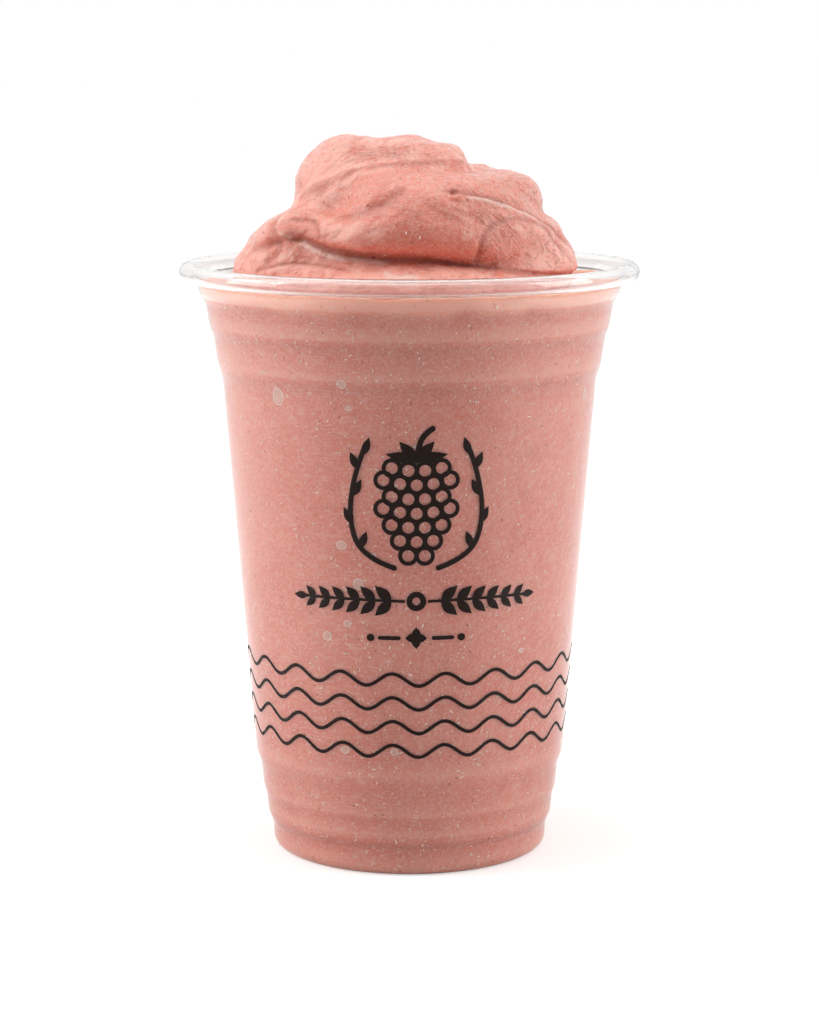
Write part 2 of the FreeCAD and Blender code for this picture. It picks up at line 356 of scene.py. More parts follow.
# %% The clear plastic material
def make_clear_plastic():
    """Clear sheet that mirrors and bends what is seen, but lets plain light straight in."""
    material, tree, shader, output = start_material("clear_plastic")
    place = object_place(tree)
    smears = use_group(tree, MOTTLE, place, Scale=45.0, Detail=3.0, From=0.45, To=0.75)
    set_inputs(tree, shader, {
        "Base Color": (0.985, 0.985, 0.98), "Transmission Weight": 0.965, "IOR": 1.5,
        "Roughness": ramp(tree, smears, -0.8, 20.0)})
    add_bump(tree, shader, noise_level(tree, place, 55.0, 2.0), 0.08 * MM)
    path = tree.nodes.new("ShaderNodeLightPath").outputs
    light_only = math_node(tree, "MAXIMUM", path["Is Shadow Ray"], path["Is Diffuse Ray"])
    straight = add_node(tree, "ShaderNodeBsdfTransparent")
    choose_shader(tree, light_only, shader, straight, output)
    return material


CLEAR_PLASTIC = make_clear_plastic()


# %% [markdown]
# ## The cup
# The section of the sheet is drawn once as a closed loop: up the outside from the middle of
# the base, over the rolled rim, and back down the inside. Spinning the loop gives the wall its
# real thickness everywhere, which glass needs to look right. The rim is the sheet turned over
# outwards into a hollow roll, and its light and dark lines come from that roll by themselves.

# %% Draw the sheet's section and spin it
CUP_STEPS = 240
LEDGE_ROUNDING = 0.7 * MM
ROLL_END = 242


def floor_outline(lift):
    """The base from the axis out to the heel, on the underside or lifted by the wall."""
    heel_centre = (BASE_RADIUS - HEEL_RADIUS, HEEL_RADIUS)
    heel = arc(heel_centre, HEEL_RADIUS - lift, -90, -8, 8)
    return [(0.0, PANEL_RISE + lift), (PANEL_RADIUS + lift, PANEL_RISE + lift),
            (PANEL_RADIUS + lift, lift)] + heel


def cup_section():
    """The closed section of the sheet, and which of its corners are rounded."""
    under = floor_outline(0.0)
    outer = wall_outline(0.0)
    roll_centre = (RIM_RADIUS - ROLL_RADIUS, CUP_HEIGHT - ROLL_RADIUS)
    hollow = arc(roll_centre, ROLL_RADIUS - WALL, 180, ROLL_END - 360, 28)
    skin = arc(roll_centre, ROLL_RADIUS, ROLL_END - 360, 180, 34)
    inner = wall_outline(WALL)[::-1]
    above = floor_outline(WALL)[::-1]
    section = under + outer + hollow[1:] + skin[:-1] + inner + above
    first_outer = len(under)
    first_inner = len(under) + len(outer) + len(hollow) - 1 + len(skin) - 1
    corners = list(range(first_outer + 1, first_outer + len(outer) - 1))
    corners += range(first_inner + 1, first_inner + len(inner) - 1)
    return section, corners


section, corners = cup_section()
bm = turn_outline(section, corners, LEDGE_ROUNDING, 4, CUP_STEPS)
cup = finish_piece("clear_cup", bm, CLEAR_PLASTIC)
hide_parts("cup")


# %% [markdown]
# ## The smoothie
# The smoothie is one thick mass: it fills the cup to just under the rim and is heaped above
# it in soft folds. Sculpting by hand can't be repeated from a script, so the heap is made the
# other way that sculptors work: a plain ball on the filled cup, swollen here, pinched there,
# and folded along a few lines, each step a smooth function of the direction from a core point
# on the axis. Directions are in degrees, round from +X and up from level; -90 is the front.

# %% The plain shape: the inside of the cup, a ring of fill and a ball
CONTACT = 0.12 * MM
HEAP_RADIUS = 31.0 * MM
HEAP_RISE = 30.8 * MM
CORE_HEIGHT = FILL_HEIGHT + 1.5 * MM
HEAP_ROWS = 150
RING_ROWS = 12
SMOOTHIE_STEPS = 460


def smoothie_outline():
    """Floor, wall up to the fill, ring of fill and ball, from axis to axis."""
    inset = WALL - CONTACT
    wall = [(r, h) for r, h in wall_outline(inset) if h < FILL_HEIGHT - 0.6 * MM]
    edge = (wall_radius(FILL_HEIGHT, inset), FILL_HEIGHT)
    foot_angle = -math.degrees(math.asin((CORE_HEIGHT - FILL_HEIGHT) / HEAP_RISE))
    ball = [(HEAP_RADIUS * math.cos(a), CORE_HEIGHT + HEAP_RISE * math.sin(a))
            for a in np.radians(np.linspace(foot_angle, 90.0, HEAP_ROWS))]
    ring = [(edge[0] + (ball[0][0] - edge[0]) * share, FILL_HEIGHT)
            for share in np.linspace(0.0, 1.0, RING_ROWS)[:-1]]
    base = floor_outline(inset)
    corners = range(len(base) + 1, len(base) + len(wall))
    return base + wall + ring + ball, corners


outline, corners = smoothie_outline()
smoothie_mesh = turn_outline(outline, corners, LEDGE_ROUNDING, 2, SMOOTHIE_STEPS)
plain = read_points(smoothie_mesh)
print(f"plain smoothie: {len(plain)} points")

# %% [markdown]
# ### Swells
# The big lobes: each is a smooth bell round one direction that pushes the ball out, or a
# negative one that draws it in. They are the swells of the CAD model, with a slightly lower
# top, which keeps the heap in its box. The ring of fill is squeezed towards the wall where the
# foot of the heap swells, so that the two stay one skin.

# %% Swell the ball
SWELLS = [  # round, up, height, spread round, spread up
    (188, 7, 0.19, 48, 16.5), (-4, 9, 0.135, 42, 15), (-88, 0, 0.17, 60, 8),
    (94, 0, 0.16, 60, 10), (-80, 12.5, -0.11, 58, 4.5), (108, 15, -0.08, 50, 5.5),
    (2, 27.5, -0.05, 26, 4), (178, 32, -0.08, 30, 8), (-84, 33, 0.09, 44, 13),
    (-128, 34, -0.10, 13, 9), (-146, 22, 0.06, 15, 10), (-42, 21, 0.07, 17, 8),
    (-6, 38, 0.08, 34, 11), (82, 32, 0.10, 46, 13), (130, 40, -0.07, 16, 10),
    (182, 55, 0.17, 38, 12), (-105, 68, 0.04, 40, 12), (-8, 60, -0.125, 44, 9),
    (-78, 55, -0.05, 40, 7), (180, 53, -0.065, 30, 7), (-20, 78, -0.03, 60, 10),
]


def turned_from(angle, middle):
    """The shortest turn from one angle to another, in degrees."""
    return (angle - middle + 180.0) % 360.0 - 180.0


def sum_bells(table, turn, climb, base=0.0):
    """Adds up smooth bells, each round its own direction, on top of a base."""
    total = np.full_like(turn, base)
    for middle, up, height, spread_round, spread_up in table:
        side = turned_from(turn, middle) * math.cos(math.radians(up))
        total += height * np.exp(-(side / spread_round) ** 2 - ((climb - up) / spread_up) ** 2)
    return total


above = plain[:, 2] > FILL_HEIGHT - 0.01 * MM
from_axis = np.hypot(plain[:, 0], plain[:, 1])
turn = np.degrees(np.arctan2(plain[:, 1], plain[:, 0]))
climb = np.degrees(np.arcsin(np.clip((plain[:, 2] - CORE_HEIGHT) / HEAP_RISE, -1, 1)))
on_ball = above & (from_axis < HEAP_RADIUS * 0.9999)
on_ring = above & ~on_ball
reach = sum_bells(SWELLS, np.where(climb > 89.5, 0.0, turn), climb, base=1.0)

points = plain.copy()
points[on_ball, :2] *= reach[on_ball, None]
points[on_ball, 2] = CORE_HEIGHT + (plain[on_ball, 2] - CORE_HEIGHT) * reach[on_ball]
wall_at_fill = wall_radius(FILL_HEIGHT, WALL - CONTACT)
foot = HEAP_RADIUS * reach
squeezed = foot + (wall_at_fill - foot) * (from_axis - HEAP_RADIUS) / (
    wall_at_fill - HEAP_RADIUS)
points[on_ring, :2] *= (squeezed / np.maximum(from_axis, MM))[on_ring, None]
print(f"top of the heap at {points[:, 2].max() / MM:.1f} mm")

# %% [markdown]
# ### The smear up the wall
# Where the filling meets the plastic it clings and climbs a little, as a thin wavy band. The
# points near the wall are lifted, each keeping its distance from the wall.

# %% Lift the skin at the wall
SMEAR = 1.7 * MM
SMEAR_DEPTH = 4 * MM
SMEAR_REACH = 2.2 * MM
SMEAR_WAVE = 9 * MM
FULL_RISE = 3.3 * MM


def ease(share):
    """A share from 0 to 1 that starts and stops softly."""
    return share * share * (3 - 2 * share)


for index in np.nonzero(plain[:, 2] > FILL_HEIGHT - SMEAR_DEPTH)[0]:
    x, y, z = points[index].tolist()
    radius = math.hypot(x, y)
    wall = wall_radius(z, WALL - CONTACT)
    near = min(max((radius - wall) / SMEAR_REACH + 1.1, 0.0), 1.0)
    rising = min(max((z - FILL_HEIGHT + SMEAR_DEPTH) / FULL_RISE, 0.0), 1.0)
    wavy = 0.9 + 0.5 * noise.noise(Vector((x, y, 0.0)) / SMEAR_WAVE)
    lift = SMEAR * wavy * ease(near) * rising
    if (lift > 0.0 and on_ring[index]) or plain[index, 2] <= FILL_HEIGHT:
        offset = wall_radius(z + lift, WALL - CONTACT) - wall
        wider = (radius + offset * near) / max(radius, MM)
        points[index] = (x * wider, y * wider, z + lift)

# %% [markdown]
# ### Folds
# Thick smoothie folds over itself as it is spooned in, and a fold is a line with a rounded lip
# on its upper side and a narrow groove under it. Each fold is a short path of directions. The
# path is smoothed by cutting its corners, every point finds how far it is from the path and on
# which side, and is pushed out into the lip, drawn into the groove and let droop over it.

# %% Distances from a path of directions
FOLDS = {  # path, height and droop in mm, width of the lip in degrees
    "under_belly": ([(-166, 9), (-150, 16), (-135, 20), (-123, 17), (-105, 15), (-83, 15),
                     (-63, 11), (-37, 6), (-12, 4), (10, 7)], 1.3, 1.2, 5.5),
    "nose": ([(-90, 38), (-97, 33), (-107, 29), (-117, 27.5), (-124, 29)], 0.4, 0.5, 6.5),
    "crest": ([(-156, 33), (-147, 40), (-134, 45), (-117, 52), (-97, 58), (-71, 62),
               (-40, 65), (-10, 62)], -0.7, 0.0, 4.5),
    "shoulder": ([(-78, 38), (-68, 36), (-57, 34), (-50, 32), (-40, 28), (-27, 24),
                  (-14, 19), (-4, 9)], 0.35, 0.3, 3.0),
    "left_lobe": ([(-160, 36), (-151, 27), (-144, 20), (-141, 13), (-148, 5)], 0.8, 0.4, 4.0),
    "right_lobe": ([(-17, 8), (-22, 15), (-32, 22), (-47, 25), (-58, 23), (-63, 17),
                    (-60, 10)], 0.28, 0.2, 3.4),
    "low_left": ([(-152, 5), (-140, 9), (-125, 10), (-112, 8)], 0.5, 0.2, 2.6),
    "left_cheek": ([(-141, 25), (-133, 27), (-127, 24), (-124, 20)], 0.6, 0.3, 2.6),
    "back_low": ([(20, 9), (45, 14), (80, 15), (115, 13), (150, 10), (170, 12)],
                 1.4, 1.6, 6.0),
    "back_high": ([(25, 47), (50, 40), (80, 37), (110, 44), (135, 54), (165, 58)],
                  1.1, 1.0, 5.5),
    "back_side": ([(160, 40), (146, 32), (138, 24), (140, 16)], 0.9, 0.5, 4.5),
    "right_back": ([(35, 36), (28, 28), (30, 20), (42, 14)], 0.8, 0.5, 4.5),
}


def cut_corners(path, rounds=2):
    """Smooths a path by cutting each of its corners, a few times over."""
    for _ in range(rounds):
        cut = [path[0]]
        for (a, b), (c, d) in zip(path, path[1:]):
            cut += [(0.75 * a + 0.25 * c, 0.75 * b + 0.25 * d),
                    (0.25 * a + 0.75 * c, 0.25 * b + 0.75 * d)]
        path = cut + [path[-1]]
    return path


def beside_path(path, turn, climb):
    """Each direction's distance from a path, positive on its left, and share along it."""
    squash = math.cos(math.radians(sum(up for _, up in path) / len(path)))
    middle = path[len(path) // 2][0]
    x = turned_from(turn, middle) * squash
    y = climb
    corners = [(turned_from(a, middle) * squash, b) for a, b in cut_corners(path)]
    nearest = np.full_like(turn, 1e6)
    signed = np.zeros_like(turn)
    share = np.zeros_like(turn)
    for index, ((ax, ay), (bx, by)) in enumerate(zip(corners, corners[1:])):
        dx, dy = bx - ax, by - ay
        along = np.clip(((x - ax) * dx + (y - ay) * dy) / (dx * dx + dy * dy), 0, 1)
        off_x, off_y = x - ax - along * dx, y - ay - along * dy
        distance = np.hypot(off_x, off_y)
        closer = distance < nearest
        nearest = np.where(closer, distance, nearest)
        side = np.where(dx * off_y - dy * off_x >= 0, 1.0, -1.0)
        signed = np.where(closer, distance * side, signed)
        share = np.where(closer, (index + along) / (len(corners) - 1), share)
    return signed, share


def bell(value, middle, spread):
    """A smooth bump of height 1."""
    return np.exp(-((value - middle) / spread) ** 2)


def fade_ends(share):
    """1 along the middle of a path, falling to 0 at both ends."""
    return ease(np.clip(np.minimum(share, 1 - share) / 0.18, 0, 1))


# %% Fold the heap
LEFT_POCKET = [(-133, 19.5, 0.9, 5, 2.6)]  # as a swell, but a spot of painted shade in the grooves' mask
core = np.array([0.0, 0.0, CORE_HEIGHT])
outward = points - core
outward /= np.maximum(np.linalg.norm(outward, axis=1, keepdims=True), 1e-9)
heap_turn = np.degrees(np.arctan2(outward[:, 1], outward[:, 0]))
heap_climb = np.degrees(np.arcsin(np.clip(outward[:, 2], -1, 1)))
ring_share = np.clip((wall_at_fill - np.hypot(points[:, 0], points[:, 1])) / (4 * MM), 0, 1)
loose = np.where(above, ring_share, 0.0)

push = np.zeros(len(points))
droop = np.zeros(len(points))
groove_shade = np.zeros(len(points))
for path, height, sag, width in FOLDS.values():
    away, share = beside_path(path, heap_turn, heap_climb)
    strength = fade_ends(share) * loose
    lip = bell(away, 0.9 * width, 0.9 * width)
    dip = bell(away, -0.2 * width, 0.33 * width)
    push += height * MM * strength * (lip - 0.9 * dip)
    droop += sag * MM * strength * bell(away, 0.6 * width, 0.7 * width)
    groove_shade = np.maximum(groove_shade, strength * bell(away, -0.1 * width, 0.3 * width))
points += outward * push[:, None]
points[:, 2] -= droop * np.cos(np.radians(heap_climb))
# the grooves and this spot get painted shade in the fruit's colour
groove_shade = np.maximum(groove_shade, loose * sum_bells(LEFT_POCKET, heap_turn, heap_climb))
print(f"folded along {len(FOLDS)} lines")

# %% [markdown]
# ### Lumps and wrinkles
# Under the folds the mass is lumpy, and its skin is drawn into wrinkles that follow the way
# it slid: up from the left, over the top and down to the right. A number that grows across
# that way, like layers in rock, and wanders a little by noise, gives the wrinkles their
# direction. Noise that is read fine across the layers and long along them comes out as
# streaks. The same layers are kept on the mesh as an attribute, so that the material can add
# streaks that are finer than its faces. Some places stay smooth, and others are drawn tight.

# %% The layers of the sliding skin
def layer_of(place):
    """How far a point is across the sliding skin's layers, in millimetres."""
    x, y, z = (place / MM).tolist()
    spot = Vector((x, y, z))
    wander = 2.6 * noise.noise(spot / 13.0) + 0.9 * noise.noise(spot / 4.5)
    return z + 0.018 * (x - 3.0) ** 2 + 0.14 * y + wander


WRINKLED = [  # round, up, strength, spread round, spread up
    (-105, 62, 1.0, 60, 14), (-25, 45, 1.0, 45, 16), (-25, 28, 0.9, 22, 9),
    (-42, 15, 0.5, 16, 7), (-128, 13, 0.9, 22, 5), (-138, 22, 0.7, 10, 6),
    (-110, 21, 0.6, 14, 4), (90, 45, 0.9, 60, 20), (60, 15, 0.7, 40, 8),
    (150, 35, 0.8, 30, 15),
]
CRINKLED = [(-30, 12, 1.0, 14, 8), (-58, 12, 0.7, 7, 8), (-20, 38, 0.6, 30, 12),
            (-143, 9, 0.5, 12, 8), (40, 20, 0.8, 30, 12)]
LUMPS = ((10.0, 0.5), (4.2, 0.42), (1.9, 0.12))  # size and depth in mm
CRATERS = [(-71, 36, 1.35), (-66, 40, 0.5), (60, 35, 1.2), (130, 20, 0.9)]  # radius in mm
HEAP_REACH = 34.0  # mm from the core to the skin, on average

layers = np.zeros(len(points))
for index in np.nonzero(loose > 0)[0]:
    layers[index] = layer_of(points[index])
wrinkled = np.clip(sum_bells(WRINKLED, heap_turn, heap_climb, base=0.3), 0.0, 1.1)
crinkled = np.clip(sum_bells(CRINKLED, heap_turn, heap_climb), 0.0, 1.0) * loose

# %% Add lumps, wrinkles and small craters
def wrinkle(across, x, y, wide, long):
    """Sharp little ridges between round hollows, from -1 to 1."""
    return 1 - 3.2 * abs(noise.noise(Vector((across / wide, x / long, y / long))))


relief = np.zeros(len(points))
for index in np.nonzero(loose > 0)[0]:
    x, y, z = (points[index] / MM).tolist()
    height = sum(depth * noise.noise(Vector((x, y, z)) / size) for size, depth in LUMPS)
    drawn = 0.13 * wrinkle(layers[index], x, y, 2.4, 5.0)
    drawn += 0.1 * wrinkle(layers[index] + 40.0, x, y, 1.5, 2.6)
    relief[index] = (height + drawn * wrinkled[index]) * MM * loose[index]
for middle, up, radius in CRATERS:
    side = turned_from(heap_turn, middle) * math.cos(math.radians(up))
    away = np.hypot(side, heap_climb - up) / math.degrees(1.0 / HEAP_REACH)
    relief += (0.28 * bell(away, radius, 0.45) - 0.55 * bell(away, 0.0, 0.6 * radius)) * MM
points += outward * relief[:, None]

write_points(smoothie_mesh, points)
upper_verts = [vertex for vertex, part in zip(smoothie_mesh.verts, loose) if part > 0.2]
bmesh.ops.smooth_vert(smoothie_mesh, verts=upper_verts, factor=0.35, use_axis_x=True,
                      use_axis_y=True, use_axis_z=True)
bmesh.ops.recalc_face_normals(smoothie_mesh, faces=smoothie_mesh.faces)
print(f"relief from {relief.min() / MM:.2f} to {relief.max() / MM:.2f} mm")

# %% [markdown]
# ### Froth in the creases
# Pale froth gathers where one fold lies on another. It is painted as a number on each point
# of the mesh, an attribute that the material reads: near the froth's own path it rises to 1,
# broken up by noise. Others say which points lie in a groove, which gets painted shade, where
# the skin is open to the air, where it has pale patches, partly paler skin and partly painted
# sheen, or spots of painted shade, and, from the cells before this one, where it is wrinkled
# and crinkled.

# %% Paint froth, grooves and the open skin
FROTH_PATHS = [  # path, half width in degrees
    ([(-134, 17.2), (-130, 15.4), (-124, 13.4), (-117, 12.4), (-110, 12.4), (-104, 11.8),
      (-98, 11.6)], 0.9),
    ([(-142, 20.5), (-137, 18.5)], 0.5),
    ([(-66, 34), (-57, 33), (-50, 30.5), (-40, 27), (-29, 23)], 0.6),
    ([(-99, 7), (-95, 5), (-90, 6), (-87, 5)], 0.9),
    ([(60, 14), (80, 15), (100, 14)], 1.0),
]
froth = np.zeros(len(points))
for path, half_width in FROTH_PATHS:
    away, share = beside_path(path, heap_turn, heap_climb)
    strip = np.clip((half_width + 0.5 - np.abs(away)) / 0.8, 0, 1)
    froth = np.maximum(froth, strip * np.clip(fade_ends(share) * 3, 0, 1) * loose)
for index in np.nonzero(froth > 0.02)[0]:
    ragged = noise.noise(Vector(points[index]) / (1.3 * MM))
    froth[index] = min(max(froth[index] * (0.95 + 0.8 * ragged), 0.0), 1.0)

PALE_SHEEN_AND_SHADE = [  # round, up, strength, spread round, spread up; pale skin with painted sheen or, below 0, painted shade
    (-137, 44, 0.22, 12, 9), (-112, 22, 0.2, 14, 4), (-66, 29, 0.03, 12, 7),
    (-45, 17, 0.1, 12, 7), (-95, 60, 0.08, 25, 6), (-150, 52, 0.12, 16, 12),
    (-110, 38, -0.22, 12, 7), (-88, 19, -0.22, 16, 7), (-160, 14, 0.1, 12, 12),
    (-74, 44, -0.22, 24, 7), (-30, 40, -0.05, 20, 10), (-90, 7, 0.14, 26, 3),
    (-78, 31, -0.16, 14, 6), (-132, 20, -0.3, 8, 4), (-22, 12, 0.14, 14, 7),
]
pale_sheen_and_shade = sum_bells(PALE_SHEEN_AND_SHADE, heap_turn, heap_climb)

raised = read_points(smoothie_mesh) + outward * (0.32 * MM * froth)[:, None]
write_points(smoothie_mesh, raised)
heap_tree = BVHTree.FromBMesh(smoothie_mesh)


def paint(mesh, name, values):
    """Stores one number, or one vector, for each point of a mesh."""
    kind = "FLOAT" if values.ndim == 1 else "FLOAT_VECTOR"
    layer = mesh.attributes.new(name, kind, "POINT")
    layer.data.foreach_set("value" if values.ndim == 1 else "vector",
                           values.astype(np.float32).ravel())


# %% [markdown]
# ## The fruit material
# Blended raspberry with milk is a pale salmon pink. Light goes a little way into it, which
# Subsurface gives, with red going furthest. The colour isn't even: large soft clouds, smaller
# pale and deep patches, thin pale fibres and tiny dark dots. Where it is open to the air it is
# wet, so it has a low roughness there, pale patches that are partly paler skin and partly
# painted sheen, pale lines of painted highlight along its wrinkles, dark creases of painted
# shade and fine bumps that break up its shine. Behind the plastic none of that shows, so there
# the skin is smooth, and its colour has painted shade under each ledge, painted light on it and
# a band of painted light at the top of the fill.

# %% The fruit's colours
FRUIT = srgb(220, 121, 101)
FRUIT_PALE = srgb(230, 146, 127)
FRUIT_DEEP = srgb(204, 98, 78)
# partly the paler skin and partly painted sheen
OPEN_PALE = srgb(243, 170, 154)
OPEN_DEEP = srgb(228, 137, 118)
# painted highlight along the wrinkles
WRINKLE_HIGHLIGHT = srgb(246, 206, 194)
# painted shade in the grooves and the crinkled creases
CREASE_SHADE = srgb(168, 80, 64)
FROTH = srgb(243, 212, 202)
DOT = srgb(150, 66, 50)
# painted light at the top of the fill
RIM_PAINTED_LIGHT = srgb(255, 176, 146)
# painted shade under each ledge and painted light on it, in the fruit's colour
PAINTED_LEDGE_SHADE = srgb(150, 74, 58)
PAINTED_LEDGE_LIGHT = srgb(244, 173, 154)


# %% The blended fruit
def crease_lines(tree, source, scale, width):
    """Thin wandering lines: 1 where a noise passes its middle level and 0 away from there."""
    level = noise_level(tree, source, scale, 3.0, 0.55)
    away = math_node(tree, "ABSOLUTE", math_node(tree, "SUBTRACT", level, 0.5))
    return ramp(tree, away, 0.0, width, start=1.0, end=0.0)


def add_masks(tree, place, flow):
    """All the patterns that the fruit's colour and skin are mixed from."""
    def attribute(name):
        return add_node(tree, "ShaderNodeAttribute", attribute_name=name).outputs["Fac"]

    def clouds(source, scale, detail, low, high):
        return use_group(tree, MOTTLE, source, Scale=scale, Detail=detail, From=low, To=high)

    # pale patches, partly paler skin and partly painted sheen, and spots of painted shade
    pale_sheen_and_shade = math_node(tree, "ADD", noise_level(tree, place, 230.0, 7.0, 0.68),
                     attribute("pale_sheen_and_shade"))
    return {
        "clouds": clouds(place, 38.0, 3.0, 0.35, 0.65),
        "patches": clouds(place, 210.0, 5.0, 0.5, 0.66),
        "deep": clouds(place, 120.0, 6.0, 0.52, 0.7),
        "dots": clouds(place, 1400.0, 0.0, 0.78, 0.82),
        "streaks": clouds(flow, 0.7, 5.0, 0.45, 0.65),
        "fibres": use_group(tree, FIBRE, place, Scale=2600.0, From=0.56, To=0.74),
        "pale_sheen_and_shade": ramp(tree, pale_sheen_and_shade, 0.46, 0.6),
        # painted highlight lines along the wrinkles and painted shade in the crinkles
        "highlight_lines": times(tree, crease_lines(tree, flow, 1.25, 0.085), attribute("wrinkled")),
        "shaded_creases": times(tree, crease_lines(tree, place, 330.0, 0.045), attribute("crinkled")),
        "froth": attribute("froth"), "groove_shade": attribute("groove_shade"),
        "open": attribute("open_skin"),
    }


def rim_painted_light(tree, height, place):
    """A band of painted light at the very top of the fill, with a wavy lower edge."""
    sway = math_node(tree, "SUBTRACT", noise_level(tree, place, 75.0, 2.0), 0.5)
    return ramp(tree, math_node(tree, "ADD", height, times(tree, sway, 5.0 * MM)),
                FILL_HEIGHT - 3.6 * MM, FILL_HEIGHT + 0.6 * MM)


# height in mm and level of painted ledge shade: 0.5 is the fruit as it is, less is painted
# shade, more is painted light
LOWER_SHADE = [(1.0, 0.78), (3.2, 0.7), (5.2, 0.54), (6.3, 0.32), (7.0, 0.34), (8.0, 0.6),
               (9.2, 0.74), (10.6, 0.64), (12.0, 0.46), (12.6, 0.48), (13.6, 0.72),
               (15.5, 0.6), (18.6, 0.44), (20.0, 0.48), (22.4, 0.7), (26.0, 0.54)]
UPPER_SHADE = [(98.0, 0.5), (101.0, 0.44), (104.3, 0.34), (105.2, 0.46), (106.0, 0.7),
               (108.0, 0.6), (111.2, 0.37), (112.7, 0.32), (113.5, 0.48), (114.2, 0.72),
               (116.0, 0.66), (117.6, 0.48), (119.0, 0.36), (121.0, 0.54)]


def shade_along(tree, height, stops):
    """A level that runs through the stops as the height grows."""
    low, high = stops[0][0], stops[-1][0]
    along = add_node(tree, "ShaderNodeMapRange", Value=height,
                     **{"From Min": low * MM, "From Max": high * MM}).outputs["Result"]
    shade = add_node(tree, "ShaderNodeValToRGB", Fac=along)
    shade.color_ramp.interpolation = "EASE"
    while len(shade.color_ramp.elements) < len(stops):
        shade.color_ramp.elements.new(0.5)
    for element, (stop, level) in zip(shade.color_ramp.elements, stops):
        element.position = (stop - low) / (high - low)
        element.color = (level, level, level, 1.0)
    return shade.outputs["Color"]


def fruit_colour(tree, masks, height, place):
    """Mixes the colour: what is behind the wall, with painted light at the top and painted shade
    and light at the ledges, what is open, with painted sheen, highlights and shade, then froth
    and painted shade in the grooves.
    """
    # painted shade under each ledge and painted light on it, by height
    ledges = math_node(tree, "ADD", shade_along(tree, height, LOWER_SHADE),
                       shade_along(tree, height, UPPER_SHADE))
    shade = math_node(tree, "SUBTRACT", ledges, 0.5)
    painted_shade = ramp(tree, math_node(tree, "SUBTRACT", 0.5, shade), 0.0, 0.5)
    painted_light = ramp(tree, math_node(tree, "SUBTRACT", shade, 0.5), 0.0, 0.5)
    # behind the wall: painted light at the top of the fill, painted shade under each ledge and
    # painted light on it
    wall = lay_colours(tree, FRUIT, [
        (masks["clouds"], 0.45, FRUIT_PALE), (masks["deep"], 0.35, FRUIT_DEEP),
        (masks["patches"], 0.3, FRUIT_PALE), (rim_painted_light(tree, height, place), 0.95, RIM_PAINTED_LIGHT),
        (painted_shade, 1.0, PAINTED_LEDGE_SHADE), (painted_light, 1.0, PAINTED_LEDGE_LIGHT)])
    # in the open: pale patches of paler skin and painted sheen, painted highlight lines and
    # painted shade in the creases
    air = lay_colours(tree, OPEN_DEEP, [
        (masks["pale_sheen_and_shade"], 1.0, OPEN_PALE), (masks["streaks"], 0.08, OPEN_PALE),
        (masks["deep"], 0.25, OPEN_DEEP), (masks["highlight_lines"], 0.32, WRINKLE_HIGHLIGHT),
        (masks["shaded_creases"], 0.5, CREASE_SHADE)])
    # the grooves get painted shade
    return lay_colours(tree, mix_colour(tree, masks["open"], wall, air), [
        (masks["fibres"], 0.26, FROTH), (masks["dots"], 0.6, DOT),
        (masks["groove_shade"], 0.5, CREASE_SHADE), (masks["froth"], 0.8, FROTH)])


def make_fruit():
    """The one material of the fruit, behind the plastic and in the open."""
    material, tree, shader, _ = start_material("blended_fruit")
    place = object_place(tree)
    flow = add_node(tree, "ShaderNodeAttribute", attribute_name="flow").outputs["Vector"]
    masks = add_masks(tree, place, flow)
    wet = add_node(tree, "ShaderNodeMapRange", Value=masks["open"],
                   **{"To Min": 0.55, "To Max": 0.18}).outputs["Result"]
    set_inputs(tree, shader, {
        "Base Color": fruit_colour(tree, masks, part_of(tree, place, "Z"), place),
        "Roughness": weighted_sum(tree, (wet, 1.0), (masks["pale_sheen_and_shade"], 0.08)),
        "Subsurface Weight": 0.5, "Subsurface Radius": (1.0, 0.45, 0.3),
        "Subsurface Scale": 1.6 * MM, "IOR": 1.4})
    skin = weighted_sum(tree, (noise_level(tree, flow, 1.1, 4.0, 0.6), 0.5),
                        (noise_level(tree, place, 520.0, 4.0, 0.62), 0.7),
                        (masks["pale_sheen_and_shade"], 0.2), (masks["highlight_lines"], 0.2),
                        (masks["shaded_creases"], -0.45))
    add_bump(tree, shader, times(tree, skin, masks["open"]), 0.34 * MM)
    return material


FRUIT_MATERIAL = make_fruit()

# %% Finish the smoothie
FLOW_LENGTH = 3.2 * MM
smoothie = finish_piece("smoothie_mass", smoothie_mesh, FRUIT_MATERIAL)
flow = np.column_stack((layers, points[:, 0] / FLOW_LENGTH, points[:, 1] / FLOW_LENGTH))
for name, values in (("froth", froth), ("groove_shade", groove_shade), ("open_skin", loose),
                     ("pale_sheen_and_shade", pale_sheen_and_shade), ("wrinkled", wrinkled), ("crinkled", crinkled),
                     ("flow", flow)):
    paint(smoothie.data, name, values)
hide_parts("smoothie")


# %% [markdown]
# ## What floats in the fruit
# Seeds, pale shreds and bubbles are small bodies at their real size, scattered at the skin of
# the fruit, one mesh for each kind. Each starts as the same few faces, stretched, turned and
# set into the skin. Some were put where they catch the eye, and the rest are random from a
# fixed seed, so that they fall in the same places each time.

# %% Places on the skin of the fruit
SIDE_SHARE = 0.965
SIDE_HEIGHTS = (1.2, 120.5)
FLECK_WIDTHS = (0.1, 0.42, 0.16)  # mm: least, most and likeliest
SHRED_COUNT = 5200
SPECK_COUNT = 360
CLEAR_OF_HEAP = 60 * MM


def on_side(turn, height):
    """A point of the skin behind the wall, at a turn from the front, and the way out."""
    angle = math.radians(turn)
    out = Vector((math.sin(angle), -math.cos(angle), 0.0))
    place = out * wall_radius(height * MM, WALL - CONTACT)
    place.z = height * MM
    return place, out


def on_heap(round_angle, up_angle):
    """A point of the heap's skin in a direction from its core, and the way out there."""
    a, b = math.radians(round_angle), math.radians(up_angle)
    way = Vector((math.cos(a) * math.cos(b), math.sin(a) * math.cos(b), math.sin(b)))
    start = Vector(core) + way * CLEAR_OF_HEAP
    place, normal, _, _ = heap_tree.ray_cast(start, -way)
    return place, normal


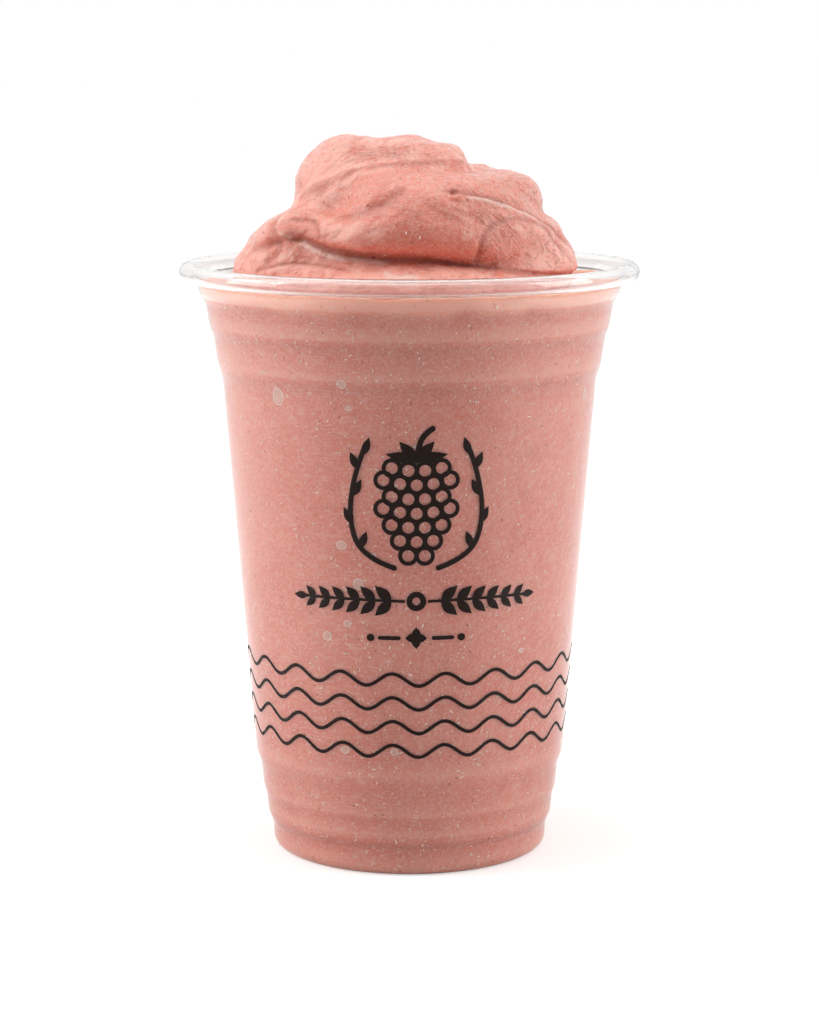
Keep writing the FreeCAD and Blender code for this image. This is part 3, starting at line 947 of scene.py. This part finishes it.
def fleck_matrix(spot, size, spin, sink):
    """Stretches a unit ball to a size in mm, spins it and sinks it into the skin."""
    place, out = spot
    upright = out.to_track_quat("Z", "Y").to_matrix().to_4x4()
    shape = Matrix.Diagonal([side * MM / 2 for side in size] + [1.0])
    return (Matrix.Translation(place - out * sink * MM) @ upright
            @ Matrix.Rotation(spin, 4, "Z") @ shape)


def make_flecks(matrices):
    """One small ball, doubled until there are enough, each copy then moved to its place."""
    bm = bmesh.new()
    bmesh.ops.create_icosphere(bm, subdivisions=1, radius=1.0)
    corners = len(bm.verts)
    while len(bm.verts) < corners * len(matrices):
        bmesh.ops.duplicate(bm, geom=bm.verts[:] + bm.edges[:] + bm.faces[:])
    bm.verts.ensure_lookup_table()
    spare = bm.verts[corners * len(matrices):]
    for number, matrix in enumerate(matrices):
        for vertex in bm.verts[corners * number:corners * (number + 1)]:
            vertex.co = matrix @ vertex.co
    bmesh.ops.delete(bm, geom=spare, context="VERTS")
    return bm


def scatter(rng, count, size_range, long_range, thick, sink):
    """Flecks at random places of the side and the heap, each with its size and length."""
    for _ in range(count):
        if rng.random() < SIDE_SHARE:
            spot = on_side(rng.uniform(-180, 180), rng.uniform(*SIDE_HEIGHTS))
        else:
            up = math.degrees(math.asin(rng.uniform(0.03, 1.0)))
            spot = on_heap(rng.uniform(-180, 180), up)
        width = rng.triangular(*size_range)
        length = width * rng.uniform(*long_range)
        yield fleck_matrix(spot, (length, width, thick), rng.uniform(0, math.pi), sink)


# %% Pale shreds of fruit and froth
def make_two_tone(name, first, second, roughness, scatter_depth=0.0):
    """A small thing's material: two colours in soft clouds, with a faint bump."""
    material, tree, shader, _ = start_material(name)
    mask = use_group(tree, MOTTLE, object_place(tree), Scale=1500.0, Detail=2.0, From=0.35,
                     To=0.65)
    set_inputs(tree, shader, {
        "Base Color": mix_colour(tree, mask, first, second),
        "Roughness": ramp(tree, mask, roughness - 1.0, roughness + 1.0),
        "Subsurface Weight": 0.3 if scatter_depth else 0.0,
        "Subsurface Scale": scatter_depth})
    add_bump(tree, shader, mask, 0.05 * MM)
    return material


SHRED_MATERIAL = make_two_tone("pale_shreds", srgb(252, 228, 215), srgb(246, 206, 190), 0.55)
SHREDS = [  # turn from the front and height in mm; length, width in mm; spin in degrees
    (-70.3, 106.8, 1.7, 0.4, 78), (-69.6, 105.2, 1.3, 0.35, 110), (-59.8, 112.0, 1.3, 0.45, 120),
    (-32.1, 109.6, 1.1, 0.4, 95), (-30.4, 109.0, 1.0, 0.45, 130), (-31.6, 106.5, 0.9, 0.35, 110),
    (-23.6, 101.1, 0.6, 0.5, 0), (-46.5, 17.4, 1.1, 0.45, 120), (-37.5, 16.3, 1.0, 0.5, 80),
    (-53.6, 3.9, 0.7, 0.6, 90), (-44.9, 4.7, 0.8, 0.45, 60), (71.0, 22.0, 0.9, 0.4, 70),
    (22.9, 121.0, 0.9, 0.7, 20),
]
rng = random.Random(11)
flecks = [fleck_matrix(on_side(turn_deg, height), (length, width, 0.25), math.radians(spin),
                       0.05)
          for turn_deg, height, length, width, spin in SHREDS]
flecks += scatter(rng, SHRED_COUNT, FLECK_WIDTHS, long_range=(1.4, 3.6), thick=0.26, sink=0.0)
finish_piece("pale_shreds", make_flecks(flecks), SHRED_MATERIAL)

# %% Dark specks of seed and skin
SEED_MATERIAL = make_two_tone("fruit_specks", srgb(128, 40, 32), srgb(176, 84, 70), 0.35)
# turn from the front and height in mm, or round and up; and the size in mm
SIDE_SPECKS = [(0.0, 118.4, 0.8), (-22.4, 100.1, 0.45), (-47.0, 98.9, 0.35), (3.3, 106.2, 0.4),
               (8.1, 20.2, 0.4), (-10.0, 21.0, 0.5), (-20.0, 112.0, 0.3), (24.0, 74.0, 0.5)]
HEAP_SPECKS = [(-85, 68, 0.45), (-15, 58, 0.4), (-94, 36, 0.55), (-108, 32, 0.8),
               (-105, 13.5, 0.95), (-55, 27, 0.4), (-45, 35, 0.35), (-55, 12, 0.5),
               (-137, 16, 0.5), (-152, 18, 0.5), (-167, 4, 0.5), (-74, 26, 0.4)]
flecks = [fleck_matrix(on_side(turn_deg, height), (size, 0.8 * size, 0.3), size, 0.08)
          for turn_deg, height, size in SIDE_SPECKS]
flecks += [fleck_matrix(on_heap(round_deg, up_deg), (size, 0.85 * size, 0.4), size, 0.1)
           for round_deg, up_deg, size in HEAP_SPECKS]
flecks += scatter(rng, SPECK_COUNT, FLECK_WIDTHS, long_range=(1.0, 1.7), thick=0.24, sink=0.08)
finish_piece("fruit_specks", make_flecks(flecks), SEED_MATERIAL)

# %% [markdown]
# ### Bubbles against the wall
# Where air is caught between the fruit and the plastic there is an oval with a pale ring round
# a slightly greyer middle. Each is a low disc in the skin with a thin raised ring on it: a
# disc from a flattened ball, the ring from a circle that is spun round the oval.

# %% Bubbles
BUBBLE_MATERIAL = make_two_tone("bubble_middle", srgb(230, 176, 163), srgb(220, 160, 146),
                                0.6, 0.4 * MM)
RING_MATERIAL = make_two_tone("bubble_ring", srgb(246, 222, 214), FROTH, 0.4)
BUBBLES = [  # turn from the front and height in mm, width, height and lean of the oval
    (-42.6, 101.6, 2.8, 3.6, 12), (67.2, 100.2, 1.3, 2.6, -10), (-19.8, 105.1, 1.9, 1.7, 0),
    (-18.2, 100.1, 1.2, 0.9, 10), (-28.3, 52.0, 1.9, 1.9, 0), (-20.8, 55.0, 1.5, 1.3, 20),
    (-16.6, 63.6, 2.0, 2.2, 15), (-21.9, 71.6, 2.2, 1.7, 0), (-23.3, 27.7, 1.7, 1.5, 0),
    (-5.4, 27.9, 1.4, 1.4, 0), (-11.5, 69.7, 1.1, 0.9, 0), (41.0, 48.0, 1.0, 0.9, 0),
    (120.0, 88.0, 2.4, 2.9, 8), (165.0, 60.0, 1.6, 1.5, 0), (-130.0, 78.0, 2.0, 2.3, 0),
    (-155.0, 34.0, 1.5, 1.3, 0), (150.0, 101.0, 1.2, 1.1, 0), (-100.0, 45.0, 1.8, 1.6, 15),
]


def lay_on_skin(verts, turn_deg, height):
    """Lays flat artwork, x round, z up and y outwards in millimetres, on the fruit's side."""
    for vertex in verts:
        level = (vertex.co.z + height) * MM
        radius = wall_radius(level, WALL - CONTACT)
        angle = math.radians(turn_deg) + vertex.co.x * MM / radius
        radius += vertex.co.y * MM
        vertex.co = (radius * math.sin(angle), -radius * math.cos(angle), level)


def edges_of(verts):
    """The edges that some vertices belong to, each once."""
    return list({edge for vertex in verts for edge in vertex.link_edges})


def add_disc(bm, width, tall, lean, thick):
    """A flat oval lens."""
    start = len(bm.verts)
    shape = (Matrix.Rotation(math.radians(lean), 4, "Y")
             @ Matrix.Diagonal((width / 2, thick, tall / 2, 1.0)))
    bmesh.ops.create_icosphere(bm, subdivisions=3, radius=1.0, matrix=shape)
    bm.verts.ensure_lookup_table()
    return bm.verts[start:]


def add_ring(bm, width, tall, lean, thick, sweep=360.0):
    """A thin ring, or part of one: a small circle turned round the middle of an oval."""
    start = len(bm.verts)
    made = bmesh.ops.create_circle(bm, cap_ends=sweep < 360.0, segments=6, radius=thick,
                                   matrix=Matrix.Translation((1.0, 0.0, 0.0)))
    verts = made["verts"]
    faces = list({face for vertex in verts for face in vertex.link_faces})
    bmesh.ops.rotate(bm, verts=verts, cent=(0, 0, 0),
                     matrix=Matrix.Rotation(math.radians(lean), 3, "Y"))
    bmesh.ops.spin(bm, geom=verts + edges_of(verts) + faces, cent=(0, 0, 0),
                   axis=(0, 1, 0), dvec=(0, 0, 0), angle=math.radians(sweep),
                   steps=max(6, int(sweep / 13)), use_merge=sweep >= 360.0,
                   use_duplicate=False)
    bm.verts.ensure_lookup_table()
    ring = bm.verts[start:]
    for vertex in ring:
        x, y, z = vertex.co
        away = math.hypot(x, z)
        vertex.co = (x / away * (width / 2 + away - 1.0), y,
                     z / away * (tall / 2 + away - 1.0))
    return ring


CRESCENTS = 130
discs = bmesh.new()
rings = bmesh.new()
for turn_deg, height, width, tall, lean in BUBBLES:
    lay_on_skin(add_disc(discs, width, tall, lean, 0.07), turn_deg, height)
    lay_on_skin(add_ring(rings, width, tall, 0.0, 0.09), turn_deg, height)
for _ in range(CRESCENTS):
    size = rng.triangular(0.5, 1.5, 0.7)
    arc_of = rng.uniform(70, 230)
    lean = rng.uniform(0, 360)
    crescent = add_ring(rings, size, size * rng.uniform(0.75, 1.2), lean, 0.06, arc_of)
    lay_on_skin(crescent, rng.uniform(-180, 180), rng.uniform(3, 119))
bmesh.ops.recalc_face_normals(rings, faces=rings.faces)
finish_piece("bubble_middles", discs, BUBBLE_MATERIAL)
finish_piece("bubble_rings", rings, RING_MATERIAL)


# %% [markdown]
# ## The print
# The line art is ink on the outside of the wall. It is modelled flat first, as a printer's
# artwork: x runs round the cup, z up it, both in millimetres. Strokes are curves with a round
# bevel, pressed almost flat, and then the whole artwork is wrapped round the tapering wall, so
# that every line keeps its width and lies on the plastic.

# %% Strokes, leaves and wrapping
INK_HEIGHT = 0.05
PRINT_TURN = 2.2


def add_stroke(bm, points, width, cyclic=False, order=3):
    """Adds a smooth stroke through flat (x, z) control points, with round ends."""
    curve = bpy.data.curves.new("stroke", "CURVE")
    curve.dimensions = "3D"
    curve.bevel_depth = width / 2
    curve.bevel_resolution = 2
    spline = curve.splines.new("NURBS")
    spline.points.add(len(points) - 1)
    for point, (x, z) in zip(spline.points, points):
        point.co = (x, 0.0, z, 1.0)
    spline.use_cyclic_u = cyclic
    spline.use_endpoint_u = not cyclic
    spline.order_u = min(order, len(points))
    spline.resolution_u = 6
    holder = bpy.data.objects.new("stroke", curve)
    mesh = bpy.data.meshes.new_from_object(holder)
    bm.from_mesh(mesh)
    bpy.data.objects.remove(holder)
    bpy.data.curves.remove(curve)
    bpy.data.meshes.remove(mesh)
    if not cyclic:
        for x, z in (points[0], points[-1]):
            bmesh.ops.create_uvsphere(bm, u_segments=12, v_segments=8, radius=width / 2,
                                      matrix=Matrix.Translation((x, 0.0, z)))


def add_circle(bm, centre, radius, width):
    """Adds a round outline."""
    add_stroke(bm, arc(centre, radius, 0, 360, 12)[:-1], width, cyclic=True, order=4)


def add_leaf(bm, base, length, width, angle):
    """Adds a filled leaf that points away from its base at an angle in degrees."""
    leaf = bmesh.new()
    bmesh.ops.create_uvsphere(leaf, u_segments=16, v_segments=14, radius=0.5,
                              matrix=Matrix.Rotation(math.pi / 2, 4, "Y"))
    for vertex in leaf.verts:
        along = min(max(vertex.co.x + 0.5, 0.0), 1.0)
        taper = math.sin(math.pi * along ** 0.85) ** 1.15
        across = math.hypot(vertex.co.y, vertex.co.z)
        if across > 1e-6:
            vertex.co.y *= taper * 0.5 / across
            vertex.co.z *= taper * 0.5 / across
    bmesh.ops.remove_doubles(leaf, verts=leaf.verts, dist=1e-4)
    bmesh.ops.translate(leaf, verts=leaf.verts, vec=(0.5, 0.0, 0.0))
    bmesh.ops.scale(leaf, verts=leaf.verts, vec=(length, width, width))
    turned = Matrix.Rotation(-math.radians(angle), 4, "Y")
    bmesh.ops.transform(leaf, verts=leaf.verts,
                        matrix=Matrix.Translation((base[0], 0.0, base[1])) @ turned)
    scrap = bpy.data.meshes.new("leaf")
    leaf.to_mesh(scrap)
    leaf.free()
    bm.from_mesh(scrap)
    bpy.data.meshes.remove(scrap)


def wrap_round_cup(bm):
    """Presses flat artwork thin and lays it on the outside of the wall."""
    deepest = max(abs(vertex.co.y) for vertex in bm.verts)
    for vertex in bm.verts:
        height = vertex.co.z * MM
        radius = wall_radius(height)
        angle = math.radians(PRINT_TURN) + vertex.co.x * MM / radius
        out = radius + INK_HEIGHT * MM * (0.15 - vertex.co.y / deepest)
        vertex.co = (out * math.sin(angle), -out * math.cos(angle), height)


# %% The ink
def make_ink():
    """Dark ink, a little uneven."""
    material, tree, shader, _ = start_material("print_ink")
    mask = use_group(tree, MOTTLE, object_place(tree), Scale=900.0, Detail=3.0, From=0.3,
                     To=0.7)
    set_inputs(tree, shader, {
        "Base Color": mix_colour(tree, mask, srgb(26, 15, 11), srgb(40, 24, 18)),
        "Roughness": ramp(tree, mask, -0.9, 1.6), "Specular IOR Level": 0.2})
    add_bump(tree, shader, mask, 0.02 * MM)
    return material


def finish_print(name, bm):
    """Makes the ink's faces look outwards and finishes it as a piece."""
    bmesh.ops.recalc_face_normals(bm, faces=bm.faces)
    finish_piece(name, bm, INK)


INK = make_ink()

# %% [markdown]
# ### Four wavy lines
# The waves run all the way round, twenty to a turn, so each is a closed ring. A circle of
# points is cut, its line is widened by extruding, and then each point is moved to its wave:
# along the line by the turn, and off it at a right angle to the slope, which keeps the line as
# wide on its flanks as on its crests.

# %% Wavy lines
WAVES = 20
WAVE_HEIGHT = 1.3
WAVE_WIDTH = 0.74
WAVE_LEVELS = [43.45 - 5.12 * row for row in range(4)]
WAVE_START = -5.8
WAVE_POINTS = 640
WAVE_SECTION = [  # across the line and out from the wall, as shares of its half width and rise
    (-1.0, 0.0), (-0.7, 0.8), (0.0, 1.0), (0.7, 0.8), (1.0, 0.0), (0.0, -0.5)]


def add_wave(bm, level):
    """One wavy ring of ink: a circle, widened up and down and thickened, then bent."""
    made = bmesh.ops.create_circle(bm, cap_ends=False, segments=WAVE_POINTS, radius=1.0)
    loops = [made["verts"]]
    ring_edges = first_edges = edges_of(made["verts"])
    for _ in WAVE_SECTION[1:]:
        extruded = bmesh.ops.extrude_edge_only(bm, edges=ring_edges)
        ring_edges = [item for item in extruded["geom"] if isinstance(item, bmesh.types.BMEdge)
                      and not any(v in loops[-1] for v in item.verts)]
        loops.append([item for item in extruded["geom"]
                      if isinstance(item, bmesh.types.BMVert)])
    bmesh.ops.bridge_loops(bm, edges=first_edges + ring_edges)
    radius = wall_radius(level * MM) / MM
    steep = WAVE_HEIGHT * WAVES / radius
    for loop, (across, proud) in zip(loops, WAVE_SECTION):
        for vertex in loop:
            angle = math.atan2(vertex.co.y, vertex.co.x)
            phase = WAVES * (angle - math.radians(WAVE_START))
            slope = -steep * math.sin(phase)
            long = math.hypot(1.0, slope)
            off = across * WAVE_WIDTH / 2
            height = level + WAVE_HEIGHT * math.cos(phase) + off / long
            around = angle - off * slope / long / radius
            out = wall_radius(height * MM) + proud * INK_HEIGHT * MM
            vertex.co = (out * math.sin(around), -out * math.cos(around), height * MM)


bm = bmesh.new()
for level in WAVE_LEVELS:
    add_wave(bm, level)
finish_print("wave_lines", bm)

# %% [markdown]
# ### A raspberry in outline
# Above the waves stands a raspberry, drawn the simplest way that still reads: rows of round
# drupelets that narrow towards the tip, a crown of four leaves, a bent stem, and a sprig on
# each side. Loops place the drupelets and the leaves, so the drawing can be changed by a few
# numbers.

# %% The raspberry emblem
BERRY_TOP = 89.2
DRUPE = 1.72
ROW_STEP = 1.72 * DRUPE
COLUMN_STEP = 1.98 * DRUPE
ROW_BEND = 0.022
LINE = 1.2


def draw_berry(bm):
    """Drupelets in rows that narrow downwards."""
    for row, count in enumerate((4, 5, 4, 5, 4, 3, 2)):
        height = BERRY_TOP - ROW_STEP * row
        for column in range(count):
            x = (column - (count - 1) / 2) * COLUMN_STEP
            add_circle(bm, (x, height + ROW_BEND * x * x - DRUPE), DRUPE, LINE * 0.7)


def draw_crown(bm):
    """Four leaves and a stem over the berry."""
    top = BERRY_TOP + 0.4
    for angle, length in ((12, 6.6), (48, 5.4), (132, 5.4), (168, 6.6)):
        add_leaf(bm, (0.0, top), length, 2.3, angle)
    add_stroke(bm, [(0.0, top), (0.3, top + 3.0), (1.6, top + 5.6), (3.2, top + 6.6)], LINE)


def draw_sprig(bm, side):
    """A bent twig with leaves at one side of the berry."""
    twig = [(side * 4.5, 67.2), (side * 11.5, 69.5), (side * 14.2, 77.5),
            (side * 12.8, 87.0), (side * 10.8, 92.0)]
    add_stroke(bm, twig, LINE * 0.9)
    for share, lean in ((0.30, 20), (0.46, -28), (0.62, 26), (0.78, -24), (0.93, 18)):
        x, z = (np.interp(share * (len(twig) - 1), range(len(twig)), values)
                for values in zip(*twig))
        angle = 90 + lean if side > 0 else 90 - lean
        add_leaf(bm, (x - side * 0.4, z), 4.0, 1.7, angle)


bm = bmesh.new()
draw_berry(bm)
draw_crown(bm)
for side in (-1, 1):
    draw_sprig(bm, side)
wrap_round_cup(bm)
finish_print("berry_emblem", bm)

# %% [markdown]
# ### A garland and a rule
# Below the berry a garland of solid leaves runs to both sides of a small ring, and under it a
# short rule has a lozenge in its middle and a dot at each end. They give the print its dark,
# even band without any words.

# %% The garland and the rule
def draw_garland(bm, height, half_length, leaves):
    """Leaves in pairs along a thin line, growing smaller towards the ends."""
    add_circle(bm, (0.0, height), 1.5, LINE)
    for side in (-1, 1):
        add_stroke(bm, [(side * 2.6, height), (side * half_length * 0.5, height + 0.35),
                        (side * half_length, height)], LINE * 0.5)
        for index in range(leaves):
            share = (index + 0.5) / leaves
            x = side * (3.4 + (half_length - 5.4) * share)
            size = 1.0 - 0.35 * share
            for lean in (42, -42):
                angle = lean if side > 0 else 180 - lean
                add_leaf(bm, (x, height), 4.9 * size, 2.3 * size, angle)
        add_leaf(bm, (side * (half_length - 1.6), height), 3.6, 1.6, 0 if side > 0 else 180)


def draw_rule(bm, height, half_length):
    """A lozenge between two short lines that end in dots."""
    for angle in (0, 90, 180, 270):
        add_leaf(bm, (0.0, height), 2.3, 1.8, angle)
    for side in (-1, 1):
        add_stroke(bm, [(side * 3.6, height), (side * half_length * 0.8, height)], LINE * 0.7)
        add_stroke(bm, [(side * half_length, height), (side * (half_length + 0.1), height)],
                   LINE * 1.3)


bm = bmesh.new()
draw_garland(bm, height=60.2, half_length=25.4, leaves=6)
draw_rule(bm, height=52.4, half_length=9.4)
wrap_round_cup(bm)
finish_print("leaf_garland", bm)


# %% [markdown]
# ## The studio
# Clear plastic takes its looks from what surrounds it, so the object stands in a white light
# tent: the world is white to the camera, in reflections and through the plastic, and gives the
# object only a weak fill. Two large lamps on each side, slightly cool, and a warmer one above
# do the lighting, which leaves the front a little darker and rounds the cup. The floor is pale
# and keeps the shadow.

# %% World and floor
WHITE = (1.0, 1.0, 1.0)
FILL_COLOUR = (1.0, 0.88, 0.84)
FILL = 0.1
FLOOR_RADIUS = 3.0


def front_opening(tree, way):
    """1 towards the open front of the tent, where it is dim, and 0 everywhere else."""
    straight = add_node(tree, "ShaderNodeVectorMath", operation="NORMALIZE", Vector=way)
    forward = times(tree, part_of(tree, straight.outputs["Vector"], "Y"), -1.0)
    return ramp(tree, forward, 0.35, 0.9)


def tent_level(tree, way, path):
    """How bright the tent is: 1, but little where its open front is mirrored."""
    dim = times(tree, front_opening(tree, way), path["Is Glossy Ray"])
    return math_node(tree, "SUBTRACT", 1.0, times(tree, dim, 0.9))


def seen_directly(tree, path):
    """1 for what the camera sees, also in a mirror and through the plastic, else 0."""
    in_plastic = math_node(tree, "MAXIMUM", path["Is Glossy Ray"],
                           path["Is Transmission Ray"])
    return math_node(tree, "MAXIMUM", path["Is Camera Ray"], in_plastic)


def make_world():
    """The tent: white where it is seen, and a weak warm fill for everything else."""
    world = bpy.data.worlds.new("white_tent")
    world.use_nodes = True
    tree = world.node_tree
    tree.nodes.clear()
    path = tree.nodes.new("ShaderNodeLightPath").outputs
    way = tree.nodes.new("ShaderNodeTexCoord").outputs["Generated"]
    fill = add_node(tree, "ShaderNodeBackground", Color=FILL_COLOUR, Strength=FILL)
    white = add_node(tree, "ShaderNodeBackground", Color=WHITE,
                     Strength=tent_level(tree, way, path))
    choose_shader(tree, seen_directly(tree, path), fill, white,
                  tree.nodes.new("ShaderNodeOutputWorld"))
    return world


def make_floor_material():
    """Pale paper that glows to white where it is seen, least round the cup's foot."""
    material, tree, shader, output = start_material("pale_floor")
    tree.nodes.remove(shader)
    place = object_place(tree)
    tint = mix_colour(tree, noise_level(tree, place, 6.0, 2.0), (0.70, 0.70, 0.70),
                      (0.72, 0.72, 0.72))
    paper = add_node(tree, "ShaderNodeBsdfDiffuse", Color=tint)
    path = tree.nodes.new("ShaderNodeLightPath").outputs
    far = add_node(tree, "ShaderNodeVectorMath", operation="LENGTH", Vector=place)
    lift = ramp(tree, far.outputs["Value"], 0.02, 0.22, start=0.5)
    mirrored = math_node(tree, "SUBTRACT", 1.0, times(tree, path["Is Glossy Ray"], 0.35))
    level = times(tree, times(tree, tent_level(tree, place, path), mirrored), lift)
    glow = add_node(tree, "ShaderNodeEmission", Color=WHITE, Strength=level)
    white = tree.nodes.new("ShaderNodeAddShader")
    feed(tree, white.inputs[0], paper.outputs[0])
    feed(tree, white.inputs[1], glow.outputs[0])
    choose_shader(tree, seen_directly(tree, path), paper, white, output)
    return material


bpy.context.scene.world = make_world()
bm = bmesh.new()
bmesh.ops.create_circle(bm, cap_ends=True, segments=96, radius=FLOOR_RADIUS)
floor = add_object("floor", bm, make_floor_material())

# %% Lamps
LIT_POINT = Vector((0.0, 0.0, 0.09))


def add_softbox(name, place, size, watts, tint):
    """A large soft lamp that looks at the middle of the cup."""
    lamp = bpy.data.lights.new(name, "AREA")
    lamp.shape = "RECTANGLE"
    lamp.size, lamp.size_y = size
    lamp.energy = watts
    lamp.color = tint
    holder = bpy.data.objects.new(name, lamp)
    holder.location = place
    holder.rotation_euler = (LIT_POINT - Vector(place)).to_track_quat("-Z", "Y").to_euler()
    bpy.context.scene.collection.objects.link(holder)


COOL = (0.97, 1.0, 1.0)
WARM = (1.0, 0.96, 0.94)
add_softbox("left_softbox", (-0.8, -0.1, 0.30), (0.5, 0.7), 3.25, COOL)
add_softbox("left_high_softbox", (-0.7, -0.05, 0.7), (0.5, 0.7), 2.85, COOL)
add_softbox("right_softbox", (0.8, -0.1, 0.30), (0.5, 0.7), 3.5, COOL)
add_softbox("right_high_softbox", (0.7, -0.05, 0.7), (0.5, 0.7), 1.5, COOL)
add_softbox("top_softbox", (0.0, 0.0, 0.95), (0.9, 0.9), 5.6, WARM)

# %% [markdown]
# ## Camera
# The camera looks slightly down, nine degrees, from about 63 cm away, through a long lens,
# so the cup's sides stay almost straight. No shift and no blur.

# %% Camera
CAMERA_PLACE = (0.0, -0.6326, 0.1753)
CAMERA_TILT = 9.2
LENS = 104.3
camera_data = bpy.data.cameras.new("camera")
camera_data.sensor_fit = "VERTICAL"
camera_data.sensor_height = 36.0
camera_data.lens = LENS
camera = bpy.data.objects.new("camera", camera_data)
camera.location = CAMERA_PLACE
camera.rotation_euler = (math.radians(90.0 - CAMERA_TILT), 0.0, 0.0)
bpy.context.scene.collection.objects.link(camera)
bpy.context.scene.camera = camera
bpy.context.scene.view_settings.view_transform = "Standard"
